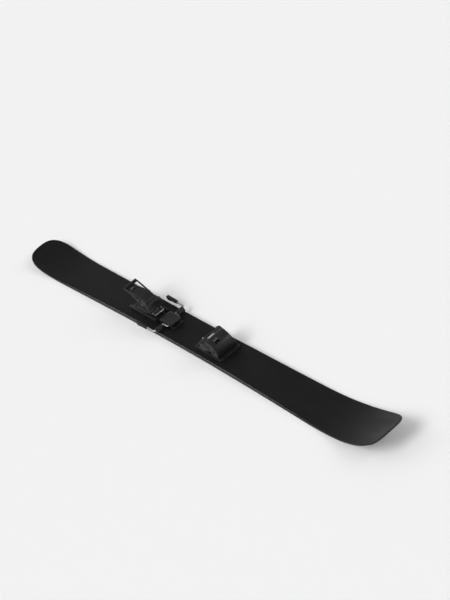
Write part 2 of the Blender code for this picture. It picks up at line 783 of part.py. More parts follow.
def toe_housing(mats):
    """A hollow hood over the wing pivots and the cross spring, open at both rear corners."""
    half = TOE_BASE_WIDTH / 2
    low = deck(TOE_BASE_HEIGHT + FIT)
    nose_x = HOUSING_FRONT_X
    profile = [
        (HOUSING_REAR_X, low),
        (nose_x, low),
        (nose_x + 1 * MM, deck(24 * MM)),
        (nose_x - 1 * MM, deck(36 * MM)),
        (nose_x - 7 * MM, deck(47 * MM)),
        (nose_x - 17 * MM, deck(54 * MM)),
        (WING_X, deck(TOE_HOUSING_TOP)),
        (HOUSING_REAR_X + 3 * MM, deck(TOE_HOUSING_TOP - 1 * MM)),
        (HOUSING_REAR_X, deck(TOE_HOUSING_TOP - 5 * MM)),
    ]
    body = extruded(profile, "XZ", -half, half)
    for vert in body.verts:
        height = (vert.co.z - low) / (TOE_HOUSING_TOP - TOE_BASE_HEIGHT)
        ahead = max(0.0, (vert.co.x - WING_X) / TOE_HOUSING_FRONT)
        vert.co.y *= 1 - 0.10 * height - 0.14 * ahead * height
    hood = solid("toe_housing", body, mats["housing"], smooth=40)
    round_edges(hood, 2.6 * MM, 2, 30)
    over = 6 * MM
    ceiling = deck(TOE_CEILING)
    inner_y = half - TOE_HOUSING_WALL
    outline = [
        (CAVITY_REAR_X, low - over),
        (CAVITY_FRONT_X, low - over),
        (CAVITY_FRONT_X, deck(40 * MM)),
        (CAVITY_FRONT_X - 8 * MM, ceiling),
        (CAVITY_REAR_X, ceiling),
    ]
    cavity = extruded(outline, "XZ", -inner_y, inner_y)
    for vert in cavity.verts:
        height = max(0.0, (vert.co.z - low) / (TOE_HOUSING_TOP - TOE_BASE_HEIGHT))
        vert.co.y *= 1 - 0.14 * height
    cut(hood, cavity)
    for side in (1, -1):
        ys = sorted((side * 13 * MM, side * (half + over)))
        xs = (HOUSING_REAR_X - over, WING_X + WING_HUB_R + FIT)
        cut(hood, box(xs, ys, (low - over, ceiling - 0.05 * MM)))
        foot = (WING_X, side * WING_PIVOT_Y)
        cut(hood, rod((*foot, ceiling - over), (*foot, deck(53.4 * MM)), WING_PIN_R + FIT, 16))
    axis = (SPRING_X, deck(TOE_SPRING_Z))
    head_hole = (axis[0], -half - over, axis[1]), (axis[0], -half + over, axis[1])
    cut(hood, rod(*head_hole, RELEASE_HEAD_R + 1 * MM, 16))
    window_x = (SPRING_X - 4 * MM, SPRING_X + 3 * MM)
    cut(hood, box(window_x, (-17 * MM, -3 * MM), (ceiling - over, deck(TOE_HOUSING_TOP + 5 * MM))))
    return hood


def wing(side, mats, parent):
    """A toe wing: a hub on its pin, a jaw that grips the boot, a forked arm to the spring."""
    sign = 1 if side == "left" else -1

    def plan(points):
        return [(WING_X + x * MM, sign * (WING_PIVOT_Y + y * MM)) for x, y in points]

    pivot = (WING_X, sign * WING_PIVOT_Y, 0)
    low = TOE_BASE_HEIGHT + 2 * FIT
    foot = (pivot[0], pivot[1], deck(low))
    hub = turned([(0, WING_HUB_R), (WING_TOP - low, WING_HUB_R)], foot, (0, 0, 1), 24)
    body = solid("toe_wing_" + side, hub, mats["housing"], foot, parent, 40)
    under_plate = TOE_STAND + AFD_LIFT + 0.8 * MM
    jaw = [(3, 7), (-10, 10.5), (-23, 14), (-34, 15), (-39, 12.5), (-40, 8), (-33, 3.5),
           (-26.5, -2), (-23.2, -7), (-10, -7.2), (-1, -7.3)]
    join(body, extruded(plan(jaw), "XY", deck(under_plate), deck(TOE_STAND + TOE_LUG + LUG_ROOM + 0.6 * MM)))
    lip = [(3, 7), (-10, 10), (-23, 13.2), (-33, 14), (-38.5, 11.5), (-40.5, 5), (-37.5, -3),
           (-31, -10), (-23, -12.4), (-14, -12), (-3, -7)]
    join(body, extruded(plan(lip), "XY", deck(TOE_STAND + TOE_LUG + LUG_ROOM), deck(WING_TOP)))
    tip = (SPRING_X, sign * WING_PIVOT_Y)
    start = (WING_X + 3 * MM, sign * WING_PIVOT_Y)
    arm = [(start[0], start[1] - WING_ARM_TIP_R)]
    arm += arc(tip, WING_ARM_TIP_R, -90, 90, 6)
    arm += [(start[0], start[1] + WING_ARM_TIP_R)]
    mid = TOE_SPRING_Z
    join(body, extruded(arm, "XY", deck(mid - WING_ARM_HEIGHT / 2), deck(mid + WING_ARM_HEIGHT / 2)))
    fork_x = (WING_X + WING_HUB_R + 1.5 * MM, tip[0] + 10 * MM)
    fork_y = (tip[1] - 10 * MM, tip[1] + 10 * MM)
    fork_z = (deck(mid - WING_FORK_GAP / 2), deck(mid + WING_FORK_GAP / 2))
    cut(body, box(fork_x, fork_y, fork_z))
    foot = (pivot[0], pivot[1])
    cut(body, rod((*foot, deck(0)), (*foot, deck(TOE_HOUSING_TOP)), WING_PIN_R + FIT, 16))
    return body


def toe_spring_pack(mats, holders):
    """Cross spring, the two plungers it pushes apart, and the release setting screw and nut."""
    z = deck(TOE_SPRING_Z)
    for side, sign in (("left", 1), ("right", -1)):
        ys = sorted((sign * PLUNGER_IN_Y, sign * PLUNGER_OUT_Y))
        xs = (SPRING_X - PLUNGER_WIDTH / 2, SPRING_X + PLUNGER_WIDTH / 2)
        zs = (z - PLUNGER_HEIGHT / 2, z + PLUNGER_HEIGHT / 2)
        origin = (SPRING_X, sign * PLUNGER_OUT_Y, z)
        name = "toe_plunger_" + side
        plunger = solid(name, box(xs, ys, zs), mats["steel"], origin, holders[name])
        round_edges(plunger, 0.8 * MM, 1)
        if side == "right":
            hole = rod((SPRING_X, -40 * MM, z), (SPRING_X, 0, z), RELEASE_SCREW_R + FIT, 16)
            cut(plunger, hole)
    screw_end = -3 * MM
    head_end = -(PLUNGER_OUT_Y + 12 * MM)
    seat = -(PLUNGER_OUT_Y + FIT)
    profile = [
        (0, RELEASE_SCREW_R - 0.5 * MM),
        (0.5 * MM, RELEASE_SCREW_R),
        (screw_end - seat, RELEASE_SCREW_R),
        (screw_end - seat, RELEASE_HEAD_R),
        (screw_end - head_end, RELEASE_HEAD_R),
    ]
    origin = (SPRING_X, seat, z)
    screw = turned(profile, (SPRING_X, screw_end, z), (0, -1, 0), 16)
    screw = solid("toe_release_screw", screw, mats["steel"], origin, holders["toe_release_screw"], 40)
    slot_x = (SPRING_X - SLOT_HALF, SPRING_X + SLOT_HALF)
    slot_z = (z - RELEASE_HEAD_R, z + RELEASE_HEAD_R)
    cut(screw, box(slot_x, (head_end - 1 * MM, head_end + 1.5 * MM), slot_z))
    nut_out = -(PLUNGER_IN_Y - RELEASE_TRAVEL - 0.5 * MM)
    nut_in = nut_out + TOE_NUT_THICK
    xs = (SPRING_X - TOE_NUT_HALF, SPRING_X + TOE_NUT_HALF)
    zs = (z - TOE_NUT_HALF, z + TOE_NUT_HALF)
    origin = (SPRING_X, nut_in, z)
    block = box(xs, (nut_out, nut_in), zs)
    nut = solid("toe_release_nut", block, mats["slider"], origin, holders["toe_release_nut"])
    pointer_x = (SPRING_X - POINTER_HALF, SPRING_X + POINTER_HALF)
    pointer_y = (nut_out + 1 * MM, nut_in - 1 * MM)
    pointer_z = (z + TOE_NUT_HALF - 2.2 * MM, deck(TOE_CEILING - 0.6 * MM))
    join(nut, box(pointer_x, pointer_y, pointer_z))
    cut(nut, rod((SPRING_X, nut_out - 5 * MM, z), (SPRING_X, nut_in + 5 * MM, z), RELEASE_SCREW_R + FIT, 16))
    wire = TOE_SPRING_WIRE_R
    start = nut_in + FIT + wire
    length = PLUNGER_IN_Y - FIT - wire - start
    points = coil((SPRING_X, start, z), (0, 1, 0), TOE_SPRING_COIL_R, wire, length, TOE_SPRING_TURNS)
    print("toe spring gap between turns, mm:", round(least_gap(points, wire) / MM, 2))
    origin = (SPRING_X, start, z)
    solid("toe_spring", swept(points, wire, 6), mats["spring"], origin, holders["toe_spring"], 60)


def wedge_ramps(lift):
    """The wedge's stepped top from rear to front, raised by a lift: two ramps with drops."""
    flat = AFD_FLOOR + FIT + AFD_WEDGE_FLAT + lift
    points = []
    for i in range(2):
        x = AFD_RAMP_X + i * AFD_RAMP_PITCH
        slope = AFD_RAMP_RISE / AFD_RAMP_LENGTH
        past = FIT if lift else 0
        points += [(x, deck(flat)), (x + AFD_RAMP_LENGTH + past, deck(flat + AFD_RAMP_RISE + past * slope))]
        points.append((x + AFD_RAMP_LENGTH + past, deck(flat)))
    return points


def sliding_plate(mats, holders):
    """Wedge, carriage and cross-sliding plate under the boot's toe, with the height screw."""
    low = deck(AFD_FLOOR + FIT)
    top = deck(AFD_SCREW_Z + HEIGHT_SCREW_R + 1.5 * MM)
    flat = deck(AFD_FLOOR + FIT + AFD_WEDGE_FLAT)
    ramps = wedge_ramps(0)
    outline = [(AFD_NUT_REAR_X, low), (ramps[-1][0], low)]
    outline += ramps[:-1][::-1]
    outline += [(AFD_NUT_FRONT_X, flat), (AFD_NUT_FRONT_X, top), (AFD_NUT_REAR_X, top)]
    side = AFD_CHANNEL_Y - FIT
    wedge = extruded(outline, "XZ", -side, side)
    wedge = solid("afd_wedge", wedge, mats["plastic"], (AFD_NUT_REAR_X, 0, low), holders["afd_wedge"])
    z = deck(AFD_SCREW_Z)
    over = 5 * MM
    bore_ends = (AFD_NUT_REAR_X - over, 0, z), (AFD_NUT_FRONT_X + over, 0, z)
    cut(wedge, rod(*bore_ends, HEIGHT_SCREW_R + FIT, 12))
    ramps = wedge_ramps(0.35 * MM)
    carriage_rear = AFD_NUT_FRONT_X + 1 * MM
    carriage_front = AFD_CHANNEL_FRONT_X - FIT
    outline = [(carriage_rear, ramps[0][1])] + ramps
    outline += [(carriage_front, ramps[-1][1]), (carriage_front, deck(AFD_TOP - FIT))]
    outline += [(carriage_rear, deck(AFD_TOP - FIT))]
    carriage = extruded(outline, "XZ", -side, side)
    origin = (carriage_rear, 0, deck(AFD_TOP - FIT))
    carriage = solid("afd_carriage", carriage, mats["plastic"], origin, holders["afd_carriage"])
    key_x = TOE_X - 22 * MM
    key = (key_x - AFD_KEY_WIDTH / 2, key_x + AFD_KEY_WIDTH / 2)
    key_z = (deck(AFD_TOP - 2 * MM), deck(AFD_TOP + AFD_KEY_HEIGHT - FIT))
    join(carriage, box(key, (-side, side), key_z))
    plate_x = (carriage_rear - 1 * MM, TOE_X + 4 * MM)
    outline = rounded_rect(plate_x, (-AFD_PLATE_Y, AFD_PLATE_Y), 7 * MM)
    plate = extruded(outline, "XY", deck(AFD_TOP), deck(TOE_STAND))
    origin = (key_x, 0, deck(AFD_TOP))
    plate = solid("afd_plate", plate, mats["slider"], origin, holders["afd_plate"], 35)
    round_edges(plate, 1.0 * MM, 2, 60)
    groove = (key[0] - FIT, key[1] + FIT)
    groove_z = (deck(AFD_TOP - 2 * MM), deck(AFD_TOP + AFD_KEY_HEIGHT))
    cut(plate, box(groove, (-2 * AFD_PLATE_Y, 2 * AFD_PLATE_Y), groove_z))
    head = 3 * MM
    start = TOE_BASE_LOW_X - FIT - head
    profile = [
        (0, HEIGHT_SCREW_HEAD_R),
        (head, HEIGHT_SCREW_HEAD_R),
        (head, HEIGHT_SCREW_R),
        (AFD_NUT_FRONT_X - start - 0.5 * MM, HEIGHT_SCREW_R),
    ]
    screw = turned(profile, (start, 0, z), (1, 0, 0), 12)
    screw = solid("toe_height_screw", screw, mats["steel"], (start, 0, z), holders["toe_height_screw"], 40)
    cut(screw, box((start - 1 * MM, start + 1.2 * MM), (-5 * MM, 5 * MM), (z - 0.5 * MM, z + 0.5 * MM)))


def toe_piece(mats, holders):
    toe_base(mats)
    toe_housing(mats)
    for side, sign in (("left", 1), ("right", -1)):
        wing(side, mats, holders["toe_wing_" + side])
        foot = (WING_X, sign * WING_PIVOT_Y)
        pin = [(0, WING_PIN_R), (50.8 * MM, WING_PIN_R)]
        body = turned(pin, (*foot, deck(2.3 * MM)), (0, 0, 1), 16)
        solid("toe_wing_pin_" + side, body, mats["steel"], smooth=40)
    toe_spring_pack(mats, holders)
    sliding_plate(mats, holders)
    for i, place_xy in enumerate(TOE_SCREWS):
        ski_screw("toe_screw_%d" % (i + 1), place_xy, deck(TOE_SCREW_Z), mats["dark_steel"])


# Heel piece

PIVOT_X = HEEL_X - HEEL_PIVOT_BEHIND
PIVOT_Z = deck(HEEL_PIVOT_HEIGHT)
TILT = math.radians(SPRING_TILT_DEG)
SPRING_DIRECTION = (-math.cos(TILT), math.sin(TILT))
WORM_REAR_X = PIVOT_X - CARRIAGE_REAR + TRACK_WALL
WORM_Z = RACK_TOP - RACK_DEPTH + WORM_R
CARRIAGE_LOW = FIT + TRACK_FLOOR + FIT
HEEL_SCREWS = [
    (PIVOT_X + along, side * HEEL_SCREW_Y)
    for along in (HEEL_SCREW_FRONT, -HEEL_SCREW_REAR) for side in (1, -1)
]
HEEL_SCREW_Z = TRACK_PAD_HEIGHT - 0.4 * MM


def from_pivot(points):
    """Points given in millimetres back, front, up and down from the heel pivot, in world XZ."""
    return [(PIVOT_X + x * MM, PIVOT_Z + z * MM) for x, z in points]


def on_spring_axis(distance, across=0.0):
    """A world XZ point on the heel spring's axis, counted from the piston's nose centre."""
    ux, uz = SPRING_DIRECTION
    return (
        PIVOT_X - NOSE_BACK + distance * ux - across * uz,
        PIVOT_Z - NOSE_DROP + distance * uz + across * ux,
    )


def heel_track(mats):
    """A channel with inward lips, a rack down its middle and pads for the screws."""
    rear, front = PIVOT_X - TRACK_REAR, PIVOT_X + TRACK_FRONT
    out_y = TRACK_WIDTH / 2
    in_y = out_y - TRACK_WALL
    lip_y = in_y - TRACK_LIP
    low, floor = deck(FIT), deck(FIT + TRACK_FLOOR)
    lip_z, top = deck(TRACK_HEIGHT - TRACK_LIP_HEIGHT), deck(TRACK_HEIGHT)
    half = [(out_y - 1 * MM, low), (out_y, low + 1 * MM), (out_y, top - 1.2 * MM), (out_y - 1.2 * MM, top),
            (lip_y, top), (lip_y, lip_z), (in_y, lip_z), (in_y, floor)]
    outline = half + [(-y, z) for y, z in reversed(half)]
    track = solid("heel_track", extruded(outline, "YZ", rear, front), mats["housing"])
    pad_z = (floor - 1 * MM, deck(TRACK_PAD_HEIGHT))
    for x, y in HEEL_SCREWS:
        pad = rounded_rect((x - 8 * MM, x + 8 * MM), (y - 6.5 * MM, y + 6.5 * MM), 3 * MM, 2)
        join(track, extruded(pad, "XY", *pad_z))
    for x, y in HEEL_SCREWS:
        cut(track, screw_hole((x, y), deck(0), deck(HEEL_SCREW_Z), deck(TRACK_PAD_HEIGHT)))
    head_front = PIVOT_X - CARRIAGE_REAR + CARRIAGE_TRAVEL
    first = math.ceil((head_front + RACK_TOOTH - WORM_REAR_X) / WORM_PITCH)
    last = math.ceil((WORM_LENGTH + CARRIAGE_TRAVEL) / WORM_PITCH)
    outline = [(WORM_REAR_X + first * WORM_PITCH - RACK_TOOTH, floor - 1 * MM)]
    root = floor + FIT
    for i in range(first, last + 1):
        centre = WORM_REAR_X + i * WORM_PITCH
        foot, crown = RACK_TOOTH / 2 + 0.25 * MM, RACK_TOOTH / 2
        outline += [(centre - foot, root), (centre - crown, deck(RACK_TOP)),
                    (centre + crown, deck(RACK_TOP)), (centre + foot, root)]
    outline.append((outline[-1][0] + 1 * MM, root))
    outline.append((outline[-1][0], floor - 1 * MM))
    outline.insert(1, (outline[0][0], root))
    join(track, extruded(outline, "XZ", -RACK_HALF_WIDTH, RACK_HALF_WIDTH))
    return track


def cam_outline():
    """The cam on the tower's rear: the path of the piston's nose, set in by its radius."""
    points = []
    gap = NOSE_R + FIT
    steps = 9
    ux, uz = SPRING_DIRECTION

    def nose(angle):
        x = -NOSE_BACK + CAM_RISE * angle * ux
        z = -NOSE_DROP + CAM_RISE * angle * uz
        return (x * math.cos(angle) - z * math.sin(angle), x * math.sin(angle) + z * math.cos(angle))

    for i in range(steps + 1):
        angle = math.radians(HEEL_OPEN_DEG + 4) * i / steps
        x, z = nose(angle)
        ahead, behind = nose(angle + 0.01), nose(angle - 0.01)
        run = Vector((ahead[0] - behind[0], ahead[1] - behind[1])).normalized()
        points.append((x - run.y * gap, z + run.x * gap))
    return points


def heel_carriage(mats, holder):
    """The block that slides in the track, with the tower that carries the pivot and the cam."""
    rear, front = PIVOT_X - CARRIAGE_REAR, PIVOT_X + CARRIAGE_FRONT
    in_y = TRACK_WIDTH / 2 - TRACK_WALL - FIT
    lip_y = in_y - TRACK_LIP
    lip_z = deck(TRACK_HEIGHT - TRACK_LIP_HEIGHT - FIT)
    low, top = deck(CARRIAGE_LOW), deck(CARRIAGE_TOP)
    half = [(in_y, low), (in_y, lip_z), (lip_y, lip_z), (lip_y, top - 2 * MM), (lip_y - 2.5 * MM, top)]
    outline = half + [(-y, z) for y, z in reversed(half)]
    origin = (PIVOT_X, 0, low)
    block = solid("heel_carriage", extruded(outline, "YZ", rear, front), mats["plastic"], origin, holder, 35)
    cam = [(PIVOT_X + x, PIVOT_Z + z) for x, z in cam_outline()]
    tower = arc((PIVOT_X, PIVOT_Z), TOWER_R, -20, 172, 12)
    tower += cam
    tower += [
        (PIVOT_X - TOWER_STEM_REAR, cam[-1][1] - 2 * MM),
        (PIVOT_X - TOWER_STEM_REAR - 1 * MM, top - 2 * MM),
        (PIVOT_X + TOWER_STEM_FRONT + 1 * MM, top - 2 * MM),
        (PIVOT_X + TOWER_STEM_FRONT, PIVOT_Z - 14 * MM),
    ]
    join(block, extruded(tower, "XZ", -TOWER_HALF_WIDTH, TOWER_HALF_WIDTH))
    cut(block, rod((PIVOT_X, -20 * MM, PIVOT_Z), (PIVOT_X, 20 * MM, PIVOT_Z), HEEL_PIN_R + FIT, 16))
    over = 4 * MM
    rack_y = RACK_HALF_WIDTH + FIT
    cut(block, box((rear - over, PIVOT_X + 5 * MM), (-rack_y, rack_y), (low - over, deck(RACK_TOP + FIT))))
    pocket = (WORM_REAR_X - FIT, WORM_REAR_X + WORM_LENGTH + FIT)
    cut(block, box(pocket, (-WORM_R - FIT, WORM_R + FIT), (low - 1.5 * over, deck(WORM_Z + WORM_R + FIT))))
    z = deck(WORM_Z)
    neck = rod((rear - over, 0, z), (pocket[1] + 5 * MM, 0, z), WORM_NECK_R + FIT, 12)
    cut(block, neck)
    return block


def worm(mats, holder):
    """The length screw: a worm that climbs along the rack, with a slotted head at the rear."""
    head = 2.8 * MM
    start = PIVOT_X - CARRIAGE_REAR - FIT - head
    worm_end = WORM_REAR_X + WORM_LENGTH
    root_r = WORM_R - RACK_DEPTH - FIT
    around = 10
    bm = bmesh.new()
    rings = []

    def add(x, radius_at):
        angles = [2 * math.pi * i / around for i in range(around)]
        points = []
        for a in angles:
            r = radius_at(a)
            points.append((x, -r * math.sin(a), deck(WORM_Z) - r * math.cos(a)))
        rings.append(ring(bm, points))

    head_r = 4.2 * MM
    for x, radius in ((start, head_r - 0.6 * MM), (start + 0.6 * MM, head_r), (start + head, head_r),
                      (start + head + 0.01 * MM, WORM_NECK_R), (WORM_REAR_X, WORM_NECK_R)):
        add(x, lambda a, r=radius: r)

    def thread(x):
        def radius_at(a):
            phase = ((x - WORM_REAR_X) / WORM_PITCH - a / (2 * math.pi)) % 1.0
            off = abs(phase - 0.5) * WORM_PITCH
            share = min(1.0, max(0.0, (THREAD_FOOT / 2 - off) / (THREAD_FOOT - THREAD_CREST) * 2))
            return root_r + (WORM_R - root_r) * share
        return radius_at

    steps = int(WORM_LENGTH / WORM_PITCH * 7)
    for i in range(steps + 1):
        x = WORM_REAR_X + 0.01 * MM + (WORM_LENGTH - 0.02 * MM) * i / steps
        add(x, thread(x))
    for x in (worm_end, worm_end + 4 * MM):
        add(x, lambda a: WORM_NECK_R)
    bridge(bm, rings)
    screw = solid("length_screw", bm, mats["steel"], (start, 0, deck(WORM_Z)), holder)
    z = deck(WORM_Z)
    cut(screw, box((start - 1 * MM, start + 1.4 * MM), (-6 * MM, 6 * MM), (z - 0.6 * MM, z + 0.6 * MM)))
    return screw


def heel_housing(mats, holder):
    """The hood that tips up to let the heel go: it straddles the tower and holds the spring."""
    half = HEEL_HOUSING_WIDTH / 2
    low_rear = on_spring_axis(HEEL_TUBE_END, HEEL_TUBE_R)
    high_rear = on_spring_axis(HEEL_TUBE_END, -HEEL_TUBE_R)
    low_front = on_spring_axis(9 * MM, HEEL_TUBE_R)
    profile = from_pivot([(40, -16), (40, 12), (37, 22), (27, 29), (8, 32.5), (-20, 34.8)])
    profile += [high_rear, low_rear, low_front]
    profile += from_pivot([(-22, -14), (-12, -16)])
    body = extruded(profile, "XZ", -half, half)
    for vert in body.verts:
        behind = max(0.0, (PIVOT_X + 4 * MM - vert.co.x) / (68 * MM))
        vert.co.y *= 1 - 0.34 * behind
    origin = (PIVOT_X, 0, PIVOT_Z)
    hood = solid("heel_housing", body, mats["housing"], origin, holder, 40)
    round_edges(hood, 2.4 * MM, 2, 30)
    slot_y = TOWER_HALF_WIDTH + 3 * FIT
    slot_r = TOWER_R + 2.6 * MM
    slot = [(PIVOT_X + slot_r, PIVOT_Z - 30 * MM)]
    slot += arc((PIVOT_X, PIVOT_Z), slot_r, 0, 180, 10)
    slot += from_pivot([(-40, -30)])
    cut(hood, extruded(slot, "XZ", -slot_y, slot_y))
    start, end = on_spring_axis(-8 * MM), on_spring_axis(HEEL_BORE_END)
    cut(hood, rod((start[0], 0, start[1]), (end[0], 0, end[1]), PISTON_R + FIT, 24))
    outside = on_spring_axis(HEEL_TUBE_END + 5 * MM)
    inside = on_spring_axis(HEEL_BORE_END - 5 * MM)
    cut(hood, rod((inside[0], 0, inside[1]), (outside[0], 0, outside[1]), RELEASE_SCREW_R + FIT, 16))
    wide = 40 * MM
    cut(hood, rod((PIVOT_X, -wide, PIVOT_Z), (PIVOT_X, wide, PIVOT_Z), HEEL_PIN_R + FIT, 16))
    pin_x, pin_z = LEVER_PIN
    cut(hood, rod((pin_x, -wide, pin_z), (pin_x, wide, pin_z), LEVER_PIN_R + FIT, 16))
    window, over = on_spring_axis(HEEL_NUT_AT + 2 * MM), on_spring_axis(HEEL_NUT_AT + 2 * MM, -22 * MM)
    cut(hood, rod((window[0], 0, window[1]), (over[0], 0, over[1]), 2.6 * MM, 16))
    return hood


LEVER_PIN = from_pivot([(4, 23)])[0]


def heel_cup(mats, holder):
    """The jaw round the boot's heel, with a lip over its lug."""
    centre_x = HEEL_X + 35 * MM
    back = PIVOT_X + 40 * MM + FIT
    low, lug = PIVOT_Z - 12 * MM, deck(HEEL_STAND + HEEL_LUG)

    def crescent(front, half, bore, bottom, top):
        outline = rounded_rect((back, HEEL_X + front), (-half, half), 5 * MM, 3)
        bm = extruded(outline, "XY", bottom, top)
        start = (centre_x, 0, bottom - 2 * MM)
        tool = turned([(0, bore), (top - bottom + 4 * MM, bore)], start, (0, 0, 1), 40)
        return bm, tool

    origin = (PIVOT_X, 0, PIVOT_Z)
    body, hollow = crescent(13 * MM, 27 * MM, CUP_BORE, low, lug + 1.6 * MM)
    cup = solid("heel_cup", body, mats["plastic"], origin, holder, 40)
    cut(cup, hollow)
    lip, hollow = crescent(14 * MM, 25 * MM, CUP_LIP_BORE, lug + 0.7 * MM, lug + 8 * MM)
    join(cup, lip)
    hollow.free()
    tool = turned([(0, CUP_LIP_BORE), (0.1, CUP_LIP_BORE)], (centre_x, 0, lug - 2 * MM), (0, 0, 1), 40)
    cut(cup, tool)
    return cup


def heel_spur(mats, holder):
    """The tread under the boot's heel, which shuts the heel piece when it is stepped on."""
    profile = from_pivot([(16, -16.3), (39, -16.3), (44, -20.4), (56, -20.7), (58, -22.4), (56, -24.6),
                          (44, -26), (22, -24.4), (16, -20)])
    spur = extruded(profile, "XZ", -17 * MM, 17 * MM)
    spur = solid("heel_spur", spur, mats["steel"], (PIVOT_X, 0, PIVOT_Z), holder, 30)
    round_edges(spur, 0.8 * MM, 1, 30)
    return spur


def heel_spring_pack(mats, holders):
    """Piston with its round nose on the cam, spring, setting nut and setting screw."""
    def point(distance):
        x, z = on_spring_axis(distance)
        return (x, 0, z)

    axis = (SPRING_DIRECTION[0], 0, SPRING_DIRECTION[1])
    origin = point(0)
    stem = turned([(0, PISTON_R), (PISTON_LENGTH, PISTON_R)], point(PISTON_FRONT), axis, 24)
    piston = solid("heel_piston", stem, mats["steel"], origin, holders["heel_piston"], 40)
    nose_angle = math.degrees(math.atan2(-SPRING_DIRECTION[1], -SPRING_DIRECTION[0]))
    nose = arc(on_spring_axis(0), NOSE_R, nose_angle - 90, nose_angle + 90, 10)
    nose += [on_spring_axis(PISTON_FRONT + 2 * MM, -NOSE_R), on_spring_axis(PISTON_FRONT + 2 * MM, NOSE_R)]
    join(piston, extruded(nose, "XZ", -NOSE_HALF_WIDTH, NOSE_HALF_WIDTH))
    wire = HEEL_SPRING_WIRE_R
    start = PISTON_FRONT + PISTON_LENGTH + FIT + wire
    length = HEEL_NUT_AT - FIT - wire - start
    points = coil(point(start), axis, HEEL_SPRING_COIL_R, wire, length, HEEL_SPRING_TURNS)
    print("heel spring gap between turns, mm:", round(least_gap(points, wire) / MM, 2))
    solid("heel_spring", swept(points, wire, 6), mats["spring"], point(start), holders["heel_spring"], 60)
    nut = [(0, PISTON_R - 0.2 * MM), (HEEL_NUT_THICK, PISTON_R - 0.2 * MM)]
    nut = turned(nut, point(HEEL_NUT_AT), axis, 16)
    nut = solid("heel_release_nut", nut, mats["slider"], point(HEEL_NUT_AT), holders["heel_release_nut"], 40)
    cut(nut, rod(point(HEEL_NUT_AT - 5 * MM), point(HEEL_NUT_AT + 10 * MM), RELEASE_SCREW_R + FIT, 16))
    head = HEEL_TUBE_END + FIT
    profile = [
        (HEEL_NUT_AT - 5 * MM, RELEASE_SCREW_R),
        (head, RELEASE_SCREW_R),
        (head, RELEASE_HEAD_R + 0.6 * MM),
        (head + 2.6 * MM, RELEASE_HEAD_R + 0.6 * MM),
        (head + 3.2 * MM, RELEASE_HEAD_R),
    ]
    screw = turned(profile, point(0), axis, 16)
    screw = solid("heel_release_screw", screw, mats["steel"], point(head), holders["heel_release_screw"], 40)
    slot = box((-1 * MM, 1.4 * MM), (-6 * MM, 6 * MM), (-0.6 * MM, 0.6 * MM))
    turn = Matrix.Rotation(TILT, 4, "Y")
    slot.transform(Matrix.Translation(Vector(point(head + 3.2 * MM))) @ turn)
    cut(screw, slot)


def heel_lever(mats, holder):
    """The lever pressed down to step out: two side arms joined by a pad behind the hood."""
    px, pz = LEVER_PIN
    inner = HEEL_HOUSING_WIDTH / 2 + FIT
    outer = inner + LEVER_THICK
    eye = arc((px, pz), 5.6 * MM, -60, 120, 8)
    arm = eye + from_pivot([(-30, 43), (-56, 51.5), (-60, 49), (-58, 45.5), (-32, 37)])
    arm += arc((px, pz), 5.6 * MM, 215, 290, 3)
    origin = (px, 0, pz)
    lever = solid("heel_lever", extruded(arm, "XZ", -outer, outer), mats["housing"], origin, holder, 40)
    round_edges(lever, 1.0 * MM, 1, 50)
    hollow = box((PIVOT_X - 50 * MM, PIVOT_X + 20 * MM), (-inner, inner), (PIVOT_Z, PIVOT_Z + 60 * MM))
    cut(lever, hollow)
    cut(lever, rod((px, -2 * outer, pz), (px, 2 * outer, pz), LEVER_PIN_R + FIT, 16))
    return lever


def heel_piece(mats, holders):
    heel_track(mats)
    heel_carriage(mats, holders["heel_carriage"])
    worm(mats, holders["length_screw"])
    half = HEEL_HOUSING_WIDTH / 2
    shaft = rod((PIVOT_X, -half + 1 * MM, PIVOT_Z), (PIVOT_X, half - 1 * MM, PIVOT_Z), HEEL_PIN_R, 16)
    solid("heel_pivot_pin", shaft, mats["steel"], (PIVOT_X, 0, PIVOT_Z), holders["heel_carriage"], 40)
    heel_housing(mats, holders["heel_housing"])
    heel_cup(mats, holders["heel_housing"])
    heel_spur(mats, holders["heel_housing"])
    px, pz = LEVER_PIN
    reach = half + LEVER_THICK
    shaft = rod((px, -reach, pz), (px, reach, pz), LEVER_PIN_R, 16)
    solid("heel_lever_pin", shaft, mats["steel"], (px, 0, pz), holders["heel_housing"], 40)
    heel_lever(mats, holders["heel_lever"])
    heel_spring_pack(mats, holders)
    for i, place_xy in enumerate(HEEL_SCREWS):
        ski_screw("heel_screw_%d" % (i + 1), place_xy, deck(HEEL_SCREW_Z), mats["dark_steel"])


# Ski brake

BRAKE_X = HEEL_X + BRAKE_AXIS_FROM_HEEL
BRAKE_Z = deck(BRAKE_AXIS_HEIGHT)
HINGE_X = BRAKE_X - PEDAL_HINGE_BACK
HINGE_Z = BRAKE_Z + PEDAL_HINGE_RISE
BRAKE_SCREWS = [(BRAKE_X + 40 * MM, 0), (BRAKE_X - 29 * MM, 0)]
BRAKE_SCREW_Z = 4.0 * MM
BEARING_IN_Y = BRAKE_CRANK_Y + BRAKE_BEND_R + 0.5 * MM
BEARING_OUT_Y = BRAKE_ARM_Y - BRAKE_BEND_R - 0.5 * MM


def bent(corners, radius, steps=5):
    """Points of a path with its corners rounded off by arcs."""
    corners = [Vector(c) for c in corners]
    points = [corners[0]]
    for before, corner, after in zip(corners, corners[1:], corners[2:]):
        a = (before - corner).normalized()
        b = (after - corner).normalized()
        half = a.angle(b) / 2
        reach = radius / math.tan(half)
        centre = corner + (a + b).normalized() * (radius / math.sin(half))
        first = (corner + a * reach - centre).normalized()
        last = (corner + b * reach - centre).normalized()
        for i in range(steps + 1):
            points.append(centre + first.slerp(last, i / steps) * radius)
    points.append(corners[-1])
    return points


